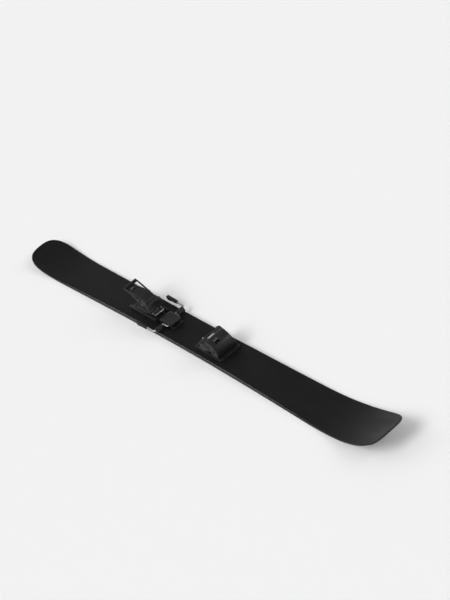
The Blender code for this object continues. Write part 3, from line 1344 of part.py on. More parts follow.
def brake_wire(side, mats, holder):
    """One brake arm, a single bent wire: bar under the pedal, crank, bearing, arm."""
    sign = 1 if side == "left" else -1
    angle = math.radians(BRAKE_CRANK_DEG)
    crank_x = BRAKE_X + BRAKE_CRANK * math.cos(angle)
    crank_z = BRAKE_Z + BRAKE_CRANK * math.sin(angle)
    corners = [
        (crank_x, sign * 8 * MM, crank_z),
        (crank_x, sign * BRAKE_CRANK_Y, crank_z),
        (BRAKE_X, sign * BRAKE_CRANK_Y, BRAKE_Z),
        (BRAKE_X, sign * BRAKE_ARM_Y, BRAKE_Z),
        (BRAKE_X - BRAKE_ARM_LENGTH, sign * BRAKE_ARM_Y, BRAKE_Z),
    ]
    wire = swept(bent(corners, BRAKE_BEND_R), BRAKE_WIRE_R, 10)
    return solid("brake_wire_" + side, wire, mats["steel"], (BRAKE_X, 0, BRAKE_Z), holder, 60)


def brake_foot(side, mats, holder):
    """The moulded paddle on the end of a brake arm."""
    sign = 1 if side == "left" else -1
    end = BRAKE_X - BRAKE_ARM_LENGTH
    outline = [
        (end + BRAKE_FOOT_LENGTH, BRAKE_Z + 4.6 * MM),
        (end + 10 * MM, BRAKE_Z + 6.5 * MM),
        (end - 5 * MM, BRAKE_Z + 7.5 * MM),
        (end - 9 * MM, BRAKE_Z + 3 * MM),
        (end - 7 * MM, BRAKE_Z - 7 * MM),
        (end + 2 * MM, BRAKE_Z - 8.5 * MM),
        (end + 14 * MM, BRAKE_Z - 5.4 * MM),
        (end + BRAKE_FOOT_LENGTH, BRAKE_Z - 4.6 * MM),
    ]
    inner = BRAKE_ARM_Y - BRAKE_WIRE_R - 0.9 * MM
    outer = BRAKE_ARM_Y + BRAKE_WIRE_R + 2.6 * MM
    ys = sorted((sign * inner, sign * outer))
    foot = extruded(outline, "XZ", *ys)
    foot = solid("brake_foot_" + side, foot, mats["plastic"], (BRAKE_X, 0, BRAKE_Z), holder, 40)
    round_edges(foot, 1.0 * MM, 1, 30)
    y = sign * BRAKE_ARM_Y
    bore_ends = (end - FIT, y, BRAKE_Z), (end + BRAKE_FOOT_LENGTH + 5 * MM, y, BRAKE_Z)
    cut(foot, rod(*bore_ends, BRAKE_WIRE_R + 0.2 * MM, 16))
    return foot


def brake_base(mats):
    """Floor plate with a bearing for each arm and two lugs for the pedal's hinge."""
    floor = (deck(FIT), deck(3.4 * MM))
    outline = rounded_rect((BRAKE_X - 35 * MM, BRAKE_X + 48 * MM), (-19 * MM, 19 * MM), 5 * MM, 3)
    base = solid("brake_base", extruded(outline, "XY", *floor), mats["housing"], smooth=35)
    half = BRAKE_WIRE_R + 4.4 * MM
    bridge_x = (BRAKE_X - half, BRAKE_X + half)
    bridge_z = (floor[0] + NUDGE, floor[1] - NUDGE)
    join(base, box(bridge_x, (-BEARING_OUT_Y, BEARING_OUT_Y), bridge_z))
    for side in (1, -1):
        top = arc((BRAKE_X, BRAKE_Z), BRAKE_WIRE_R + 2.4 * MM, 20, 160, 6)
        block = [(BRAKE_X + half, deck(1 * MM)), *top, (BRAKE_X - half, deck(1 * MM))]
        ys = sorted((side * BEARING_IN_Y, side * (BEARING_OUT_Y - 0.001 * MM)))
        join(base, extruded(block, "XZ", *ys))
        lug = [(HINGE_X - 5 * MM, deck(1 * MM)), (HINGE_X + 5 * MM, deck(1 * MM))]
        lug += arc((HINGE_X, HINGE_Z), 4.2 * MM, 0, 180, 6)
        ys = sorted((side * 8.4 * MM, side * 12 * MM))
        join(base, extruded(lug, "XZ", *ys))
    wide = 2 * BRAKE_ARM_Y
    cut(base, rod((BRAKE_X, -wide, BRAKE_Z), (BRAKE_X, wide, BRAKE_Z), BRAKE_WIRE_R + FIT, 16))
    cut(base, rod((HINGE_X, -wide, HINGE_Z), (HINGE_X, wide, HINGE_Z), PEDAL_PIN_R + FIT, 12))
    for place_xy in BRAKE_SCREWS:
        cut(base, screw_hole(place_xy, deck(0), deck(BRAKE_SCREW_Z - 0.8 * MM), deck(BRAKE_SCREW_Z)))
    return base


def brake_pedal(mats, holder):
    """The pad under the boot: pressed down by the sole, it swings the arms up."""
    low, top = HINGE_Z, deck(HEEL_STAND)
    front = BRAKE_X + PEDAL_FRONT
    profile = [
        (HINGE_X - 5 * MM, low - 1 * MM),
        (HINGE_X - 3 * MM, low - 4.4 * MM),
        (HINGE_X + 3 * MM, low - 4.4 * MM),
        (HINGE_X + 6 * MM, low),
        (front - 1 * MM, low),
        (front, low + 2 * MM),
        (front - 2 * MM, top - 1.4 * MM),
        (front - 6 * MM, top),
        (HINGE_X + 4 * MM, top),
        (HINGE_X - 4 * MM, top - 2.4 * MM),
    ]
    body = extruded(profile, "XZ", -PEDAL_HALF_WIDTH, PEDAL_HALF_WIDTH)
    pedal = solid("brake_pedal", body, mats["plastic"], (HINGE_X, 0, HINGE_Z), holder, 40)
    round_edges(pedal, 1.0 * MM, 1, 50)
    for side in (1, -1):
        ys = sorted((side * 8.0 * MM, side * 12.4 * MM))
        cut(pedal, box((HINGE_X - 8 * MM, HINGE_X + 7 * MM), ys, (low - 8 * MM, low + 4.8 * MM)))
    spring_room_x = (HINGE_X - 8 * MM, HINGE_X + 8 * MM)
    cut(pedal, box(spring_room_x, (-8.2 * MM, 8.2 * MM), (low - 8 * MM, low + 5.6 * MM)))
    cut(pedal, rod((HINGE_X, -40 * MM, HINGE_Z), (HINGE_X, 40 * MM, HINGE_Z), PEDAL_PIN_R + FIT, 12))
    return pedal


def brake_spring(mats):
    """The torsion spring round the pedal's pin, one leg on the base and one under the pedal."""
    wire, radius, turns, per_turn = BRAKE_SPRING_WIRE_R, BRAKE_SPRING_COIL_R, BRAKE_SPRING_TURNS, 10
    pitch = 2 * wire + 0.6 * MM
    width = turns * pitch
    points = []
    for i in range(turns * per_turn + 1):
        turn = i / per_turn
        angle = -math.pi / 2 + 2 * math.pi * turn
        x = HINGE_X + radius * math.cos(angle)
        z = HINGE_Z + radius * math.sin(angle)
        points.append((x, -width / 2 + pitch * turn, z))
    leg = 13 * MM
    low = HINGE_Z - radius
    first = [(HINGE_X - leg, -width / 2, low), (HINGE_X - leg / 2, -width / 2, low)]
    last = [(HINGE_X + leg / 2, width / 2, low), (HINGE_X + leg, width / 2, low)]
    path = [Vector(p) for p in points]
    print("brake spring gap between turns, mm:", round(least_gap(path, wire, per_turn) / MM, 2))
    body = swept(first + points + last, wire, 6)
    return solid("brake_spring", body, mats["spring"], (HINGE_X, 0, HINGE_Z), smooth=60)


def ski_brake(mats, holders):
    brake_base(mats)
    for side in ("left", "right"):
        brake_wire(side, mats, holders["brake_arms"])
        brake_foot(side, mats, holders["brake_arms"])
    brake_pedal(mats, holders["brake_pedal"])
    reach = PEDAL_HALF_WIDTH - 1 * MM
    shaft = rod((HINGE_X, -reach, HINGE_Z), (HINGE_X, reach, HINGE_Z), PEDAL_PIN_R, 12)
    solid("brake_pedal_pin", shaft, mats["steel"], (HINGE_X, 0, HINGE_Z), smooth=40)
    brake_spring(mats)
    for i, place_xy in enumerate(BRAKE_SCREWS):
        ski_screw("brake_screw_%d" % (i + 1), place_xy, deck(BRAKE_SCREW_Z - 0.8 * MM), mats["dark_steel"])


# The whole ski

def joint_frames():
    """One empty on each joint's axis, under the empty of the body that carries it."""
    release_y = -(PLUNGER_OUT_Y + FIT)
    toe_axis_z = deck(TOE_SPRING_Z)
    at_nut = on_spring_axis(HEEL_NUT_AT)
    at_nose = on_spring_axis(0)
    places = (
        ("toe_wing_left", None, (WING_X, WING_PIVOT_Y, deck(0))),
        ("toe_wing_right", None, (WING_X, -WING_PIVOT_Y, deck(0))),
        ("toe_plunger_left", None, (SPRING_X, PLUNGER_OUT_Y, toe_axis_z)),
        ("toe_plunger_right", None, (SPRING_X, -PLUNGER_OUT_Y, toe_axis_z)),
        ("toe_spring", "toe_plunger_left", (SPRING_X, PLUNGER_IN_Y, toe_axis_z)),
        ("toe_release_screw", "toe_plunger_right", (SPRING_X, release_y, toe_axis_z)),
        ("toe_release_nut", "toe_plunger_right", (SPRING_X, release_y, toe_axis_z)),
        ("afd_carriage", None, (TOE_X, 0, deck(AFD_TOP))),
        ("afd_plate", "afd_carriage", (TOE_X, 0, deck(AFD_TOP))),
        ("afd_wedge", None, (AFD_NUT_REAR_X, 0, deck(AFD_SCREW_Z))),
        ("toe_height_screw", None, (TOE_BASE_LOW_X, 0, deck(AFD_SCREW_Z))),
        ("heel_carriage", None, (PIVOT_X, 0, deck(0))),
        ("length_screw", "heel_carriage", (PIVOT_X, 0, deck(WORM_Z))),
        ("heel_housing", "heel_carriage", (PIVOT_X, 0, PIVOT_Z)),
        ("heel_lever", "heel_housing", (LEVER_PIN[0], 0, LEVER_PIN[1])),
        ("heel_piston", "heel_housing", (at_nose[0], 0, at_nose[1])),
        ("heel_spring", "heel_housing", (at_nut[0], 0, at_nut[1])),
        ("heel_release_screw", "heel_housing", (at_nut[0], 0, at_nut[1])),
        ("heel_release_nut", "heel_housing", (at_nut[0], 0, at_nut[1])),
        ("brake_arms", None, (BRAKE_X, 0, BRAKE_Z)),
        ("brake_pedal", None, (HINGE_X, 0, HINGE_Z)),
    )
    frames = {}
    for name, parent, origin in places:
        frames[name] = empty(name + ".joint", origin, frames.get(parent))
    return frames


def build():
    clear_scene()
    mats = materials()
    frames = joint_frames()
    ski = ski_body(mats)
    toe_piece(mats, frames)
    heel_piece(mats, frames)
    ski_brake(mats, frames)
    drill_ski(ski, TOE_SCREWS + HEEL_SCREWS + BRAKE_SCREWS)


build()
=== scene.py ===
import json
import math

import bmesh
import bpy
from mathutils import Matrix, Vector


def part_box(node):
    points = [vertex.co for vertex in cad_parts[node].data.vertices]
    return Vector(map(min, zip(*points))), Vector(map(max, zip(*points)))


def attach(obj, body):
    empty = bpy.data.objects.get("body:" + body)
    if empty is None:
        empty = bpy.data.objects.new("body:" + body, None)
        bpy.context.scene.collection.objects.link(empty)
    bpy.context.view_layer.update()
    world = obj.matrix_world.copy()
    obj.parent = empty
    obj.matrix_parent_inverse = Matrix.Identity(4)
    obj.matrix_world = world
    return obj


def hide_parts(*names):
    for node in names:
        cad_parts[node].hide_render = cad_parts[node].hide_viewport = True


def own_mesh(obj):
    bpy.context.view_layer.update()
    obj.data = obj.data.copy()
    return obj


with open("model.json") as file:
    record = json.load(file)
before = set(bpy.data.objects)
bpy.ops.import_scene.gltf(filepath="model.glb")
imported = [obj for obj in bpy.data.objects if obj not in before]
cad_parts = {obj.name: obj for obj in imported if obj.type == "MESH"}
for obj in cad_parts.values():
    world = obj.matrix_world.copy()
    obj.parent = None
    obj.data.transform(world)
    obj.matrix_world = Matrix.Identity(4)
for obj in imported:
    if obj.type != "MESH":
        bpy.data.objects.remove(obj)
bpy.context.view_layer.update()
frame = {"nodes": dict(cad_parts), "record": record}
nodes = frame["nodes"]
print("frame loaded,", len(nodes), "nodes")

mm = 0.001
scene = bpy.context.scene


# small helpers for node materials

def startMaterial(name, color, roughness, metallic=0.0):
    mat = bpy.data.materials.new(name)
    mat.use_nodes = True
    tree = mat.node_tree
    shader = tree.nodes["Principled BSDF"]
    shader.inputs["Base Color"].default_value = (*color, 1)
    shader.inputs["Roughness"].default_value = roughness
    shader.inputs["Metallic"].default_value = metallic
    mat.diffuse_color = (*color, 1)
    return mat, tree, shader


def objectCoords(tree, scale=(1, 1, 1), turn=(0, 0, 0)):
    coords = tree.nodes.new("ShaderNodeTexCoord")
    mapping = tree.nodes.new("ShaderNodeMapping")
    mapping.inputs["Scale"].default_value = scale
    mapping.inputs["Rotation"].default_value = turn
    tree.links.new(coords.outputs["Object"], mapping.inputs["Vector"])
    return mapping.outputs["Vector"]


def noise(tree, vector, scale, detail=4.0, rough=0.5):
    node = tree.nodes.new("ShaderNodeTexNoise")
    node.inputs["Scale"].default_value = scale
    node.inputs["Detail"].default_value = detail
    node.inputs["Roughness"].default_value = rough
    tree.links.new(vector, node.inputs["Vector"])
    return node.outputs["Fac"]


def tones(tree, value, first, second, low=0.3, high=0.7):
    # most of a noise texture lies between 0.3 and 0.7
    node = tree.nodes.new("ShaderNodeValToRGB")
    for element, place, shade in zip(node.color_ramp.elements, (low, high), (first, second)):
        element.position = place
        element.color = (*shade, 1)
    tree.links.new(value, node.inputs["Fac"])
    return node.outputs["Color"]


def rangeOf(tree, value, low, high, fromLow=0.3, fromHigh=0.7):
    node = tree.nodes.new("ShaderNodeMapRange")
    node.inputs["From Min"].default_value = fromLow
    node.inputs["From Max"].default_value = fromHigh
    node.inputs["To Min"].default_value = low
    node.inputs["To Max"].default_value = high
    tree.links.new(value, node.inputs["Value"])
    return node.outputs["Result"]


def mathNode(tree, operation, first, second):
    node = tree.nodes.new("ShaderNodeMath")
    node.operation = operation
    for socket, value in zip(node.inputs, (first, second)):
        if isinstance(value, (int, float)):
            socket.default_value = value
        else:
            tree.links.new(value, socket)
    return node.outputs["Value"]


def mixColors(tree, factor, first, second):
    node = tree.nodes.new("ShaderNodeMix")
    node.data_type = "RGBA"
    for name, value in (("Factor", factor), ("A", first), ("B", second)):
        socket = next(s for s in node.inputs if s.name == name and s.enabled)
        if isinstance(value, tuple):
            socket.default_value = (*value, 1)
        else:
            tree.links.new(value, socket)
    return next(s for s in node.outputs if s.enabled)


def linkFinish(tree, shader, color, rough):
    tree.links.new(color, shader.inputs["Base Color"])
    tree.links.new(rough, shader.inputs["Roughness"])


def bump(tree, shader, height, strength, distance):
    node = tree.nodes.new("ShaderNodeBump")
    node.inputs["Strength"].default_value = strength
    node.inputs["Distance"].default_value = distance
    tree.links.new(height, node.inputs["Height"])
    tree.links.new(node.outputs["Normal"], shader.inputs["Normal"])


def attribute(tree, name):
    node = tree.nodes.new("ShaderNodeAttribute")
    node.attribute_name = name
    return node.outputs["Fac"]


# the ski's shape, as the builder of the ski draws it

skiPlan = {
    "length": 1.840,
    "tipWidth": 0.138,
    "waistWidth": 0.108,
    "tailWidth": 0.128,
    "waistX": -0.050,
    "tipTaper": 0.168,
    "tailTaper": 0.105,
    "tipBluntness": 4.2,  # the photographed tip ends straight across, between round corners
    "tailBluntness": 2.9,
    "endAngle": math.radians(86),
    "endSteps": 5,  # points from the middle of each straight end to its corner
    "tailSteps": 40,
    "sideSteps": 210,
    "tipSteps": 60,
}

skiSide = {
    "camber": 0.0036,
    "frontRocker": 0.370,
    "rearRocker": 0.245,
    "tipRise": 0.074,
    "tailRise": 0.031,
    "rockerCurve": 2.35,
    "midThickness": 0.0124,
    "deckFront": 0.190,
    "deckRear": -0.350,
    "coreTip": 0.730,
    "coreTail": -0.805,
    "fallStart": 1.7,  # how the thickness falls away from the deck to the ends of the core
    "fallEnd": 1.35,
}

layers = {
    "bond": 0.1 * mm,
    "sideBond": 0.15 * mm,
    "edgeHeight": 1.9 * mm,
    "edgeWidth": 2.1 * mm,
    "edgeFlange": 3.6 * mm,
    "edgeFlangeHeight": 0.6 * mm,
    "lowerLaminate": 0.6 * mm,
    "sidewallWidth": 7.0 * mm,
    "inset": 0.3 * mm,
    "slant": 2.4 * mm,
    "metalSheet": 0.4 * mm,
    "upperLaminate": 0.6 * mm,
    "topsheet": 0.6 * mm,
    "spacerEnd": 0.8 * mm,
    "spacerGap": 0.4 * mm,
    "edgeRound": 0.15 * mm,
    "shoulderStep": 0.02 * mm,
    "wallLip": 0.1 * mm,
    "wallLipHeight": 1.2 * mm,
    "topRound": 0.5 * mm,
    "topRim": (3 * mm, 6 * mm),  # where the topsheet's rim passes into its flat middle
    "topColumns": 10,
    "edgeReach": 0.84,  # of the taper at each end, where the steel edges stop
    "rimReach": 0.03,  # how far in from the rim the topsheet's wear is measured
}

tipX, tailX = skiPlan["length"] / 2, -skiPlan["length"] / 2
tipWidest = tipX - skiPlan["tipTaper"]
tailWidest = tailX + skiPlan["tailTaper"]
frontContact = tipX - skiSide["frontRocker"]
rearContact = tailX + skiSide["rearRocker"]
edgeTip = tipWidest + skiPlan["tipTaper"] * layers["edgeReach"]
edgeTail = tailWidest - skiPlan["tailTaper"] * layers["edgeReach"]


def halfWidth(x):
    waist, waistX = skiPlan["waistWidth"], skiPlan["waistX"]
    end, endX, widestX = ("tip", tipX, tipWidest) if x > waistX else ("tail", tailX, tailWidest)
    if abs(x) <= abs(widestX):
        share = (x - waistX) / (widestX - waistX)
        return (waist + (skiPlan[end + "Width"] - waist) * share ** 2) / 2
    share = (x - widestX) / (endX - widestX)
    power = skiPlan[end + "Bluntness"]
    return skiPlan[end + "Width"] / 2 * max(0.0, 1 - share ** power) ** (1 / power)


def baseZ(x):
    if x > frontContact:
        share = (x - frontContact) / skiSide["frontRocker"]
        return skiSide["tipRise"] * share ** skiSide["rockerCurve"]
    if x < rearContact:
        share = (rearContact - x) / skiSide["rearRocker"]
        return skiSide["tailRise"] * share ** skiSide["rockerCurve"]
    share = (x - rearContact) / (frontContact - rearContact)
    return skiSide["camber"] * math.sin(math.pi * share) ** 2


lowerStack = layers["edgeHeight"] + layers["bond"] + layers["lowerLaminate"]
topSkins = layers["bond"] + layers["upperLaminate"] + layers["bond"] + layers["topsheet"]
upperStack = layers["bond"] + layers["metalSheet"] + topSkins
endThickness = lowerStack + layers["bond"] + layers["spacerEnd"] + topSkins
deckZ = baseZ((skiSide["deckFront"] + skiSide["deckRear"]) / 2) + skiSide["midThickness"]


def topZ(x):
    front, rear = skiSide["deckFront"], skiSide["deckRear"]
    if rear <= x <= front:
        return deckZ
    start, end = (front, skiSide["coreTip"]) if x > front else (rear, skiSide["coreTail"])
    startThickness = deckZ - baseZ(start)
    share = min(1.0, (x - start) / (end - start))
    fall = (1 - share ** skiSide["fallStart"]) ** skiSide["fallEnd"]
    return baseZ(x) + endThickness + (startThickness - endThickness) * fall


def halfOutline():
    # from the middle of the tail, round the left side, to the middle of the tip
    bend = math.sin(skiPlan["endAngle"])
    endSteps, tailSteps = skiPlan["endSteps"], skiPlan["tailSteps"]
    sideSteps, tipSteps = skiPlan["sideSteps"], skiPlan["tipSteps"]
    tailEnd = halfWidth(tailWidest - skiPlan["tailTaper"] * bend)
    tipEnd = halfWidth(tipWidest + skiPlan["tipTaper"] * bend)
    points = [(tailX, tailEnd * i / endSteps) for i in range(endSteps)]
    for i in range(tailSteps):
        angle = skiPlan["endAngle"] * (1 - i / tailSteps)
        x = tailWidest - skiPlan["tailTaper"] * math.sin(angle) / bend
        points.append((x, tailEnd if i == 0 else halfWidth(x)))
    for i in range(sideSteps):
        x = tailWidest + (tipWidest - tailWidest) * i / sideSteps
        points.append((x, halfWidth(x)))
    for i in range(tipSteps + 1):
        angle = skiPlan["endAngle"] * i / tipSteps
        x = tipWidest + skiPlan["tipTaper"] * math.sin(angle) / bend
        points.append((x, tipEnd if i == tipSteps else halfWidth(x)))
    points += [(tipX, tipEnd * (1 - i / endSteps)) for i in range(1, endSteps + 1)]
    found = []
    for i, (x, y) in enumerate(points):
        before = points[i - 1] if i else (points[1][0], -points[1][1])
        after = points[i + 1] if i + 1 < len(points) else (points[-2][0], -points[-2][1])
        run = Vector((after[0] - before[0], after[1] - before[1])).normalized()
        found.append((x, y, -run.y, run.x))
    return found


outline = halfOutline()


def bridge(bm, rings):
    for first, second in zip(rings, rings[1:]):
        for i in range(len(first)):
            j = (i + 1) % len(first)
            bm.faces.new((first[i], first[j], second[j], second[i]))


def tube(bm, rings):
    # faces from ring to ring, and one over each end
    bridge(bm, rings)
    bm.faces.new(rings[0])
    bm.faces.new(rings[-1])


def skinPoint(place, inset, height):
    x, y, nx, ny = place
    inset = inset(x) if callable(inset) else inset
    px, py = x - inset * nx, max(y - inset * ny, 0.0)
    return px, py, baseZ(px) + height(px)


def meshPiece(name, bm, mat, body="ski", smooth=35, replaced=()):
    mesh = bpy.data.meshes.new(name)
    bm.to_mesh(mesh)
    bm.free()
    mesh.materials.append(mat)
    mesh.shade_smooth()
    mesh.set_sharp_from_angle(angle=math.radians(smooth))
    piece = bpy.data.objects.new(name, mesh)
    scene.collection.objects.link(piece)
    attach(piece, body)
    if replaced:
        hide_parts(*replaced)
    return piece


def closeEnd(bm, ring, count):
    # the straight end of a layer, between its two corners
    left, across, right = ring[:count], ring[count:-count], ring[-count:][::-1]
    for i in range(count - 2):
        bm.faces.new((left[i], left[i + 1], right[i + 1], right[i]))
    bm.faces.new([left[-2], left[-1], *across, right[-1], right[-2]])


merge = {
    "near": 1e-6,  # points closer than this become one
    "flat": 1e-7,  # edges shorter than this are dissolved
}


def wholeSkin(section, columns=1, low=tailX, high=tipX):
    # a layer as wide as the ski: the section runs up the left side, the right side mirrors it
    bm = bmesh.new()
    shore = bm.verts.layers.float.new("fromEdge")
    rings = []
    for place in outline[skiPlan["endSteps"]:-skiPlan["endSteps"]]:
        if not low - merge["near"] <= place[0] <= high + merge["near"]:
            continue
        left = [skinPoint(place, inset, height) for inset, height in section]
        lastX, lastY, lastZ = left[-1]
        across = [(lastX, lastY * (1 - 2 * i / columns), lastZ) for i in range(1, columns)]
        right = [(x, -y, z) for x, y, z in reversed(left)]
        ring = []
        for point in left + across + right:
            vert = bm.verts.new(point)
            reach = min(halfWidth(point[0]) - abs(point[1]), tipX - point[0], point[0] - tailX)
            vert[shore] = max(0.0, min(1.0, reach / layers["rimReach"]))
            ring.append(vert)
        rings.append(ring)
    bridge(bm, rings)
    for ring, cut in ((rings[0], low > tailX), (rings[-1], high < tipX)):
        if cut:
            bm.faces.new(ring)
        else:
            closeEnd(bm, ring, len(section))
    bmesh.ops.remove_doubles(bm, verts=bm.verts, dist=merge["near"])
    bmesh.ops.dissolve_degenerate(bm, edges=bm.edges, dist=merge["flat"])
    bmesh.ops.recalc_face_normals(bm, faces=bm.faces)
    return bm


def sideStrip(section, low, high, mirrored):
    # a layer along one side only, such as an edge or a sidewall
    bm = bmesh.new()
    rings = []
    for place in outline:
        if not low < place[0] < high:
            continue
        ring = []
        for inset, height in section:
            x, y, z = skinPoint(place, inset, height)
            ring.append(bm.verts.new((x, -y if mirrored else y, z)))
        rings.append(ring)
    tube(bm, rings)
    bmesh.ops.recalc_face_normals(bm, faces=bm.faces)
    return bm


def level(height):
    return lambda x: height


def underTop(depth):
    return lambda x: topZ(x) - baseZ(x) - depth


def corner(inset, height, radius, steps=4):
    # a rounded upper rim, from the side up to the flat
    points = []
    for i in range(steps + 1):
        angle = math.pi / 2 * i / steps
        drop = radius * (1 - math.sin(angle))
        points.append((inset + radius * (1 - math.cos(angle)), underTop(height + drop)))
    return points


# finishes of the ski

topsheetLook = {
    "color": (0.006, 0.006, 0.0066),
    "dark": (0.004, 0.004, 0.0044),
    "light": (0.0072, 0.0072, 0.0079),
    "scuffed": (0.034, 0.034, 0.036),
    "specular": 0.14,
    "roughness": 0.44,
    "smooth": 0.40,
    "dull": 0.52,
    "wornDuller": 0.22,
    "wornFlatter": 0.8,  # how far wear takes the linen away
    "scratches": 0.35,
    "rim": (0.08, 0.30),  # shares of the measured rim over which wear fades out
    "linenPitch": 1100.0,
    "linenWobble": 0.6,
    "linenStrength": 0.35,
    "linenDepth": 0.00003,
}


def topsheetFinish(look):
    mat, tree, shader = startMaterial("topsheetBlack", look["color"], look["roughness"])
    shader.inputs["Specular IOR Level"].default_value = look["specular"]
    broad = noise(tree, objectCoords(tree, (3, 9, 9)), 2.0, 5)
    streaks = noise(tree, objectCoords(tree, (14, 240, 60), (0, 0, 0.35)), 1.6, 6, 0.62)
    scratch = tones(tree, streaks, (0, 0, 0), (1, 1, 1), 0.60, 0.66)
    rim = rangeOf(tree, attribute(tree, "fromEdge"), 1.0, 0.0, *look["rim"])
    chips = noise(tree, objectCoords(tree, (90, 160, 160)), 2.2, 5, 0.7)
    worn = mathNode(tree, "MULTIPLY", rim, rangeOf(tree, chips, 0.0, 1.0, 0.52, 0.68))
    marks = mathNode(tree, "MULTIPLY", scratch, look["scratches"])
    wear = mathNode(tree, "MAXIMUM", worn, marks)
    tone = tones(tree, broad, look["dark"], look["light"])
    rough = rangeOf(tree, broad, look["smooth"], look["dull"])
    rough = mathNode(tree, "ADD", rough, mathNode(tree, "MULTIPLY", wear, look["wornDuller"]))
    linkFinish(tree, shader, mixColors(tree, wear, tone, look["scuffed"]), rough)
    weave = []
    for turn in (math.radians(45), math.radians(-45)):
        wave = tree.nodes.new("ShaderNodeTexWave")
        wave.bands_direction = "X"
        wave.inputs["Scale"].default_value = look["linenPitch"] / (2 * math.pi)
        wave.inputs["Distortion"].default_value = look["linenWobble"]
        tree.links.new(objectCoords(tree, (1, 1, 1), (0, 0, turn)), wave.inputs["Vector"])
        weave.append(wave.outputs["Fac"])
    linen = mathNode(tree, "MULTIPLY", *weave)
    bare = mathNode(tree, "MULTIPLY", wear, look["wornFlatter"])
    fine = mathNode(tree, "SUBTRACT", linen, bare)
    bump(tree, shader, fine, look["linenStrength"], look["linenDepth"])
    return mat


sidewallLook = {
    "color": (0.010, 0.010, 0.011),
    "roughness": 0.44,
}

spacerLook = {
    "color": (0.016, 0.016, 0.0175),
    "roughness": 0.48,
}

milledLook = {
    "specular": 0.2,
    "darkShare": 0.8,
    "lightShare": 1.5,
    "nickShare": 5,
    "smoother": 0.09,
    "duller": 0.13,
    "strength": 0.25,
    "depth": 0.00004,
}


def shaded(color, share):
    return tuple(min(1.0, c * share) for c in color)


def milledFinish(name, look):
    # plastic milled along the ski, with a few nicks
    color, roughness = look["color"], look["roughness"]
    mat, tree, shader = startMaterial(name, color, roughness)
    shader.inputs["Specular IOR Level"].default_value = milledLook["specular"]
    milled = noise(tree, objectCoords(tree, (9, 700, 1400)), 1.0, 4, 0.6)
    broad = noise(tree, objectCoords(tree, (16, 50, 50)), 1.5, 5)
    dark, light = shaded(color, milledLook["darkShare"]), shaded(color, milledLook["lightShare"])
    tone = tones(tree, broad, dark, light, 0.3, 0.75)
    nicks = noise(tree, objectCoords(tree, (60, 200, 420)), 1.8, 5, 0.7)
    nick = rangeOf(tree, nicks, 0.0, 0.7, 0.66, 0.74)
    tone = mixColors(tree, nick, tone, shaded(color, milledLook["nickShare"]))
    smooth, dull = roughness - milledLook["smoother"], roughness + milledLook["duller"]
    linkFinish(tree, shader, tone, rangeOf(tree, milled, smooth, dull))
    bump(tree, shader, milled, milledLook["strength"], milledLook["depth"])
    return mat


edgeLook = {
    "color": (0.52, 0.52, 0.53),
    "dark": (0.40, 0.40, 0.41),
    "light": (0.62, 0.62, 0.63),
    "rust": (0.20, 0.13, 0.09),
    "roughness": 0.3,
    "smooth": 0.2,
    "dull": 0.42,
    "rustDuller": 0.3,
    "anisotropy": 0.4,
    "strength": 0.2,
    "depth": 0.00003,
}


def edgeFinish(look):
    mat, tree, shader = startMaterial("edgeSteel", look["color"], look["roughness"], 1.0)
    shader.inputs["Anisotropic"].default_value = look["anisotropy"]
    ground = noise(tree, objectCoords(tree, (12, 1500, 2600)), 1.0, 4, 0.65)
    spots = noise(tree, objectCoords(tree, (70, 200, 500)), 1.7, 6, 0.7)
    steel = tones(tree, ground, look["dark"], look["light"])
    rust = rangeOf(tree, spots, 0.0, 0.55, 0.66, 0.78)
    shine = rangeOf(tree, ground, look["smooth"], look["dull"])
    rough = mathNode(tree, "ADD", shine, mathNode(tree, "MULTIPLY", rust, look["rustDuller"]))
    linkFinish(tree, shader, mixColors(tree, rust, steel, look["rust"]), rough)
    bump(tree, shader, ground, look["strength"], look["depth"])
    return mat


baseLook = {
    "color": (0.02, 0.02, 0.022),
    "dark": (0.015, 0.015, 0.017),
    "light": (0.028, 0.028, 0.030),
    "gouged": (0.09, 0.09, 0.093),
    "roughness": 0.34,
    "smooth": 0.27,
    "dull": 0.42,
    "strength": 0.4,
    "depth": 0.00005,
}


def baseFinish(look):
    # sintered plastic with a crossed stone grind
    mat, tree, shader = startMaterial("baseBlack", look["color"], look["roughness"])
    stone = noise(tree, objectCoords(tree, (6, 1300, 200), (0, 0, 0.02)), 1.0, 3, 0.6)
    cross = noise(tree, objectCoords(tree, (6, 1300, 200), (0, 0, -0.05)), 1.0, 3, 0.6)
    broad = noise(tree, objectCoords(tree, (4, 14, 14)), 1.6, 5)
    grind = mathNode(tree, "MULTIPLY", stone, cross)
    gouges = noise(tree, objectCoords(tree, (5, 260, 60), (0, 0, 0.03)), 1.3, 5, 0.6)
    gouge = rangeOf(tree, gouges, 0.0, 0.5, 0.66, 0.70)
    tone = mixColors(tree, gouge, tones(tree, broad, look["dark"], look["light"]), look["gouged"])
    linkFinish(tree, shader, tone, rangeOf(tree, broad, look["smooth"], look["dull"]))
    bump(tree, shader, grind, look["strength"], look["depth"])
    return mat


laminateLook = {
    "color": (0.07, 0.075, 0.06),
    "dark": (0.035, 0.038, 0.03),
    "light": (0.12, 0.125, 0.10),
    "metallic": 0.0,
    "roughness": 0.42,
    "smooth": 0.36,
    "dull": 0.52,
    "stretch": (14, 900, 2400),
    "grain": (1.0, 4, 0.6),
    "strength": 0.2,
    "depth": 0.00003,
}

alloyLook = {
    "color": (0.62, 0.63, 0.64),
    "dark": (0.52, 0.53, 0.54),
    "light": (0.70, 0.71, 0.72),
    "metallic": 1.0,
    "roughness": 0.36,
    "smooth": 0.28,
    "dull": 0.44,
    "stretch": (6, 900, 900),
    "grain": (1.0, 4, 0.6),
}

woodLook = {
    "color": (0.58, 0.42, 0.24),
    "dark": (0.42, 0.28, 0.14),
    "light": (0.66, 0.50, 0.30),
    "metallic": 0.0,
    "roughness": 0.6,
    "smooth": 0.5,
    "dull": 0.7,
    "stretch": (5, 120, 120),
    "grain": (1.4, 6, 0.6),
}


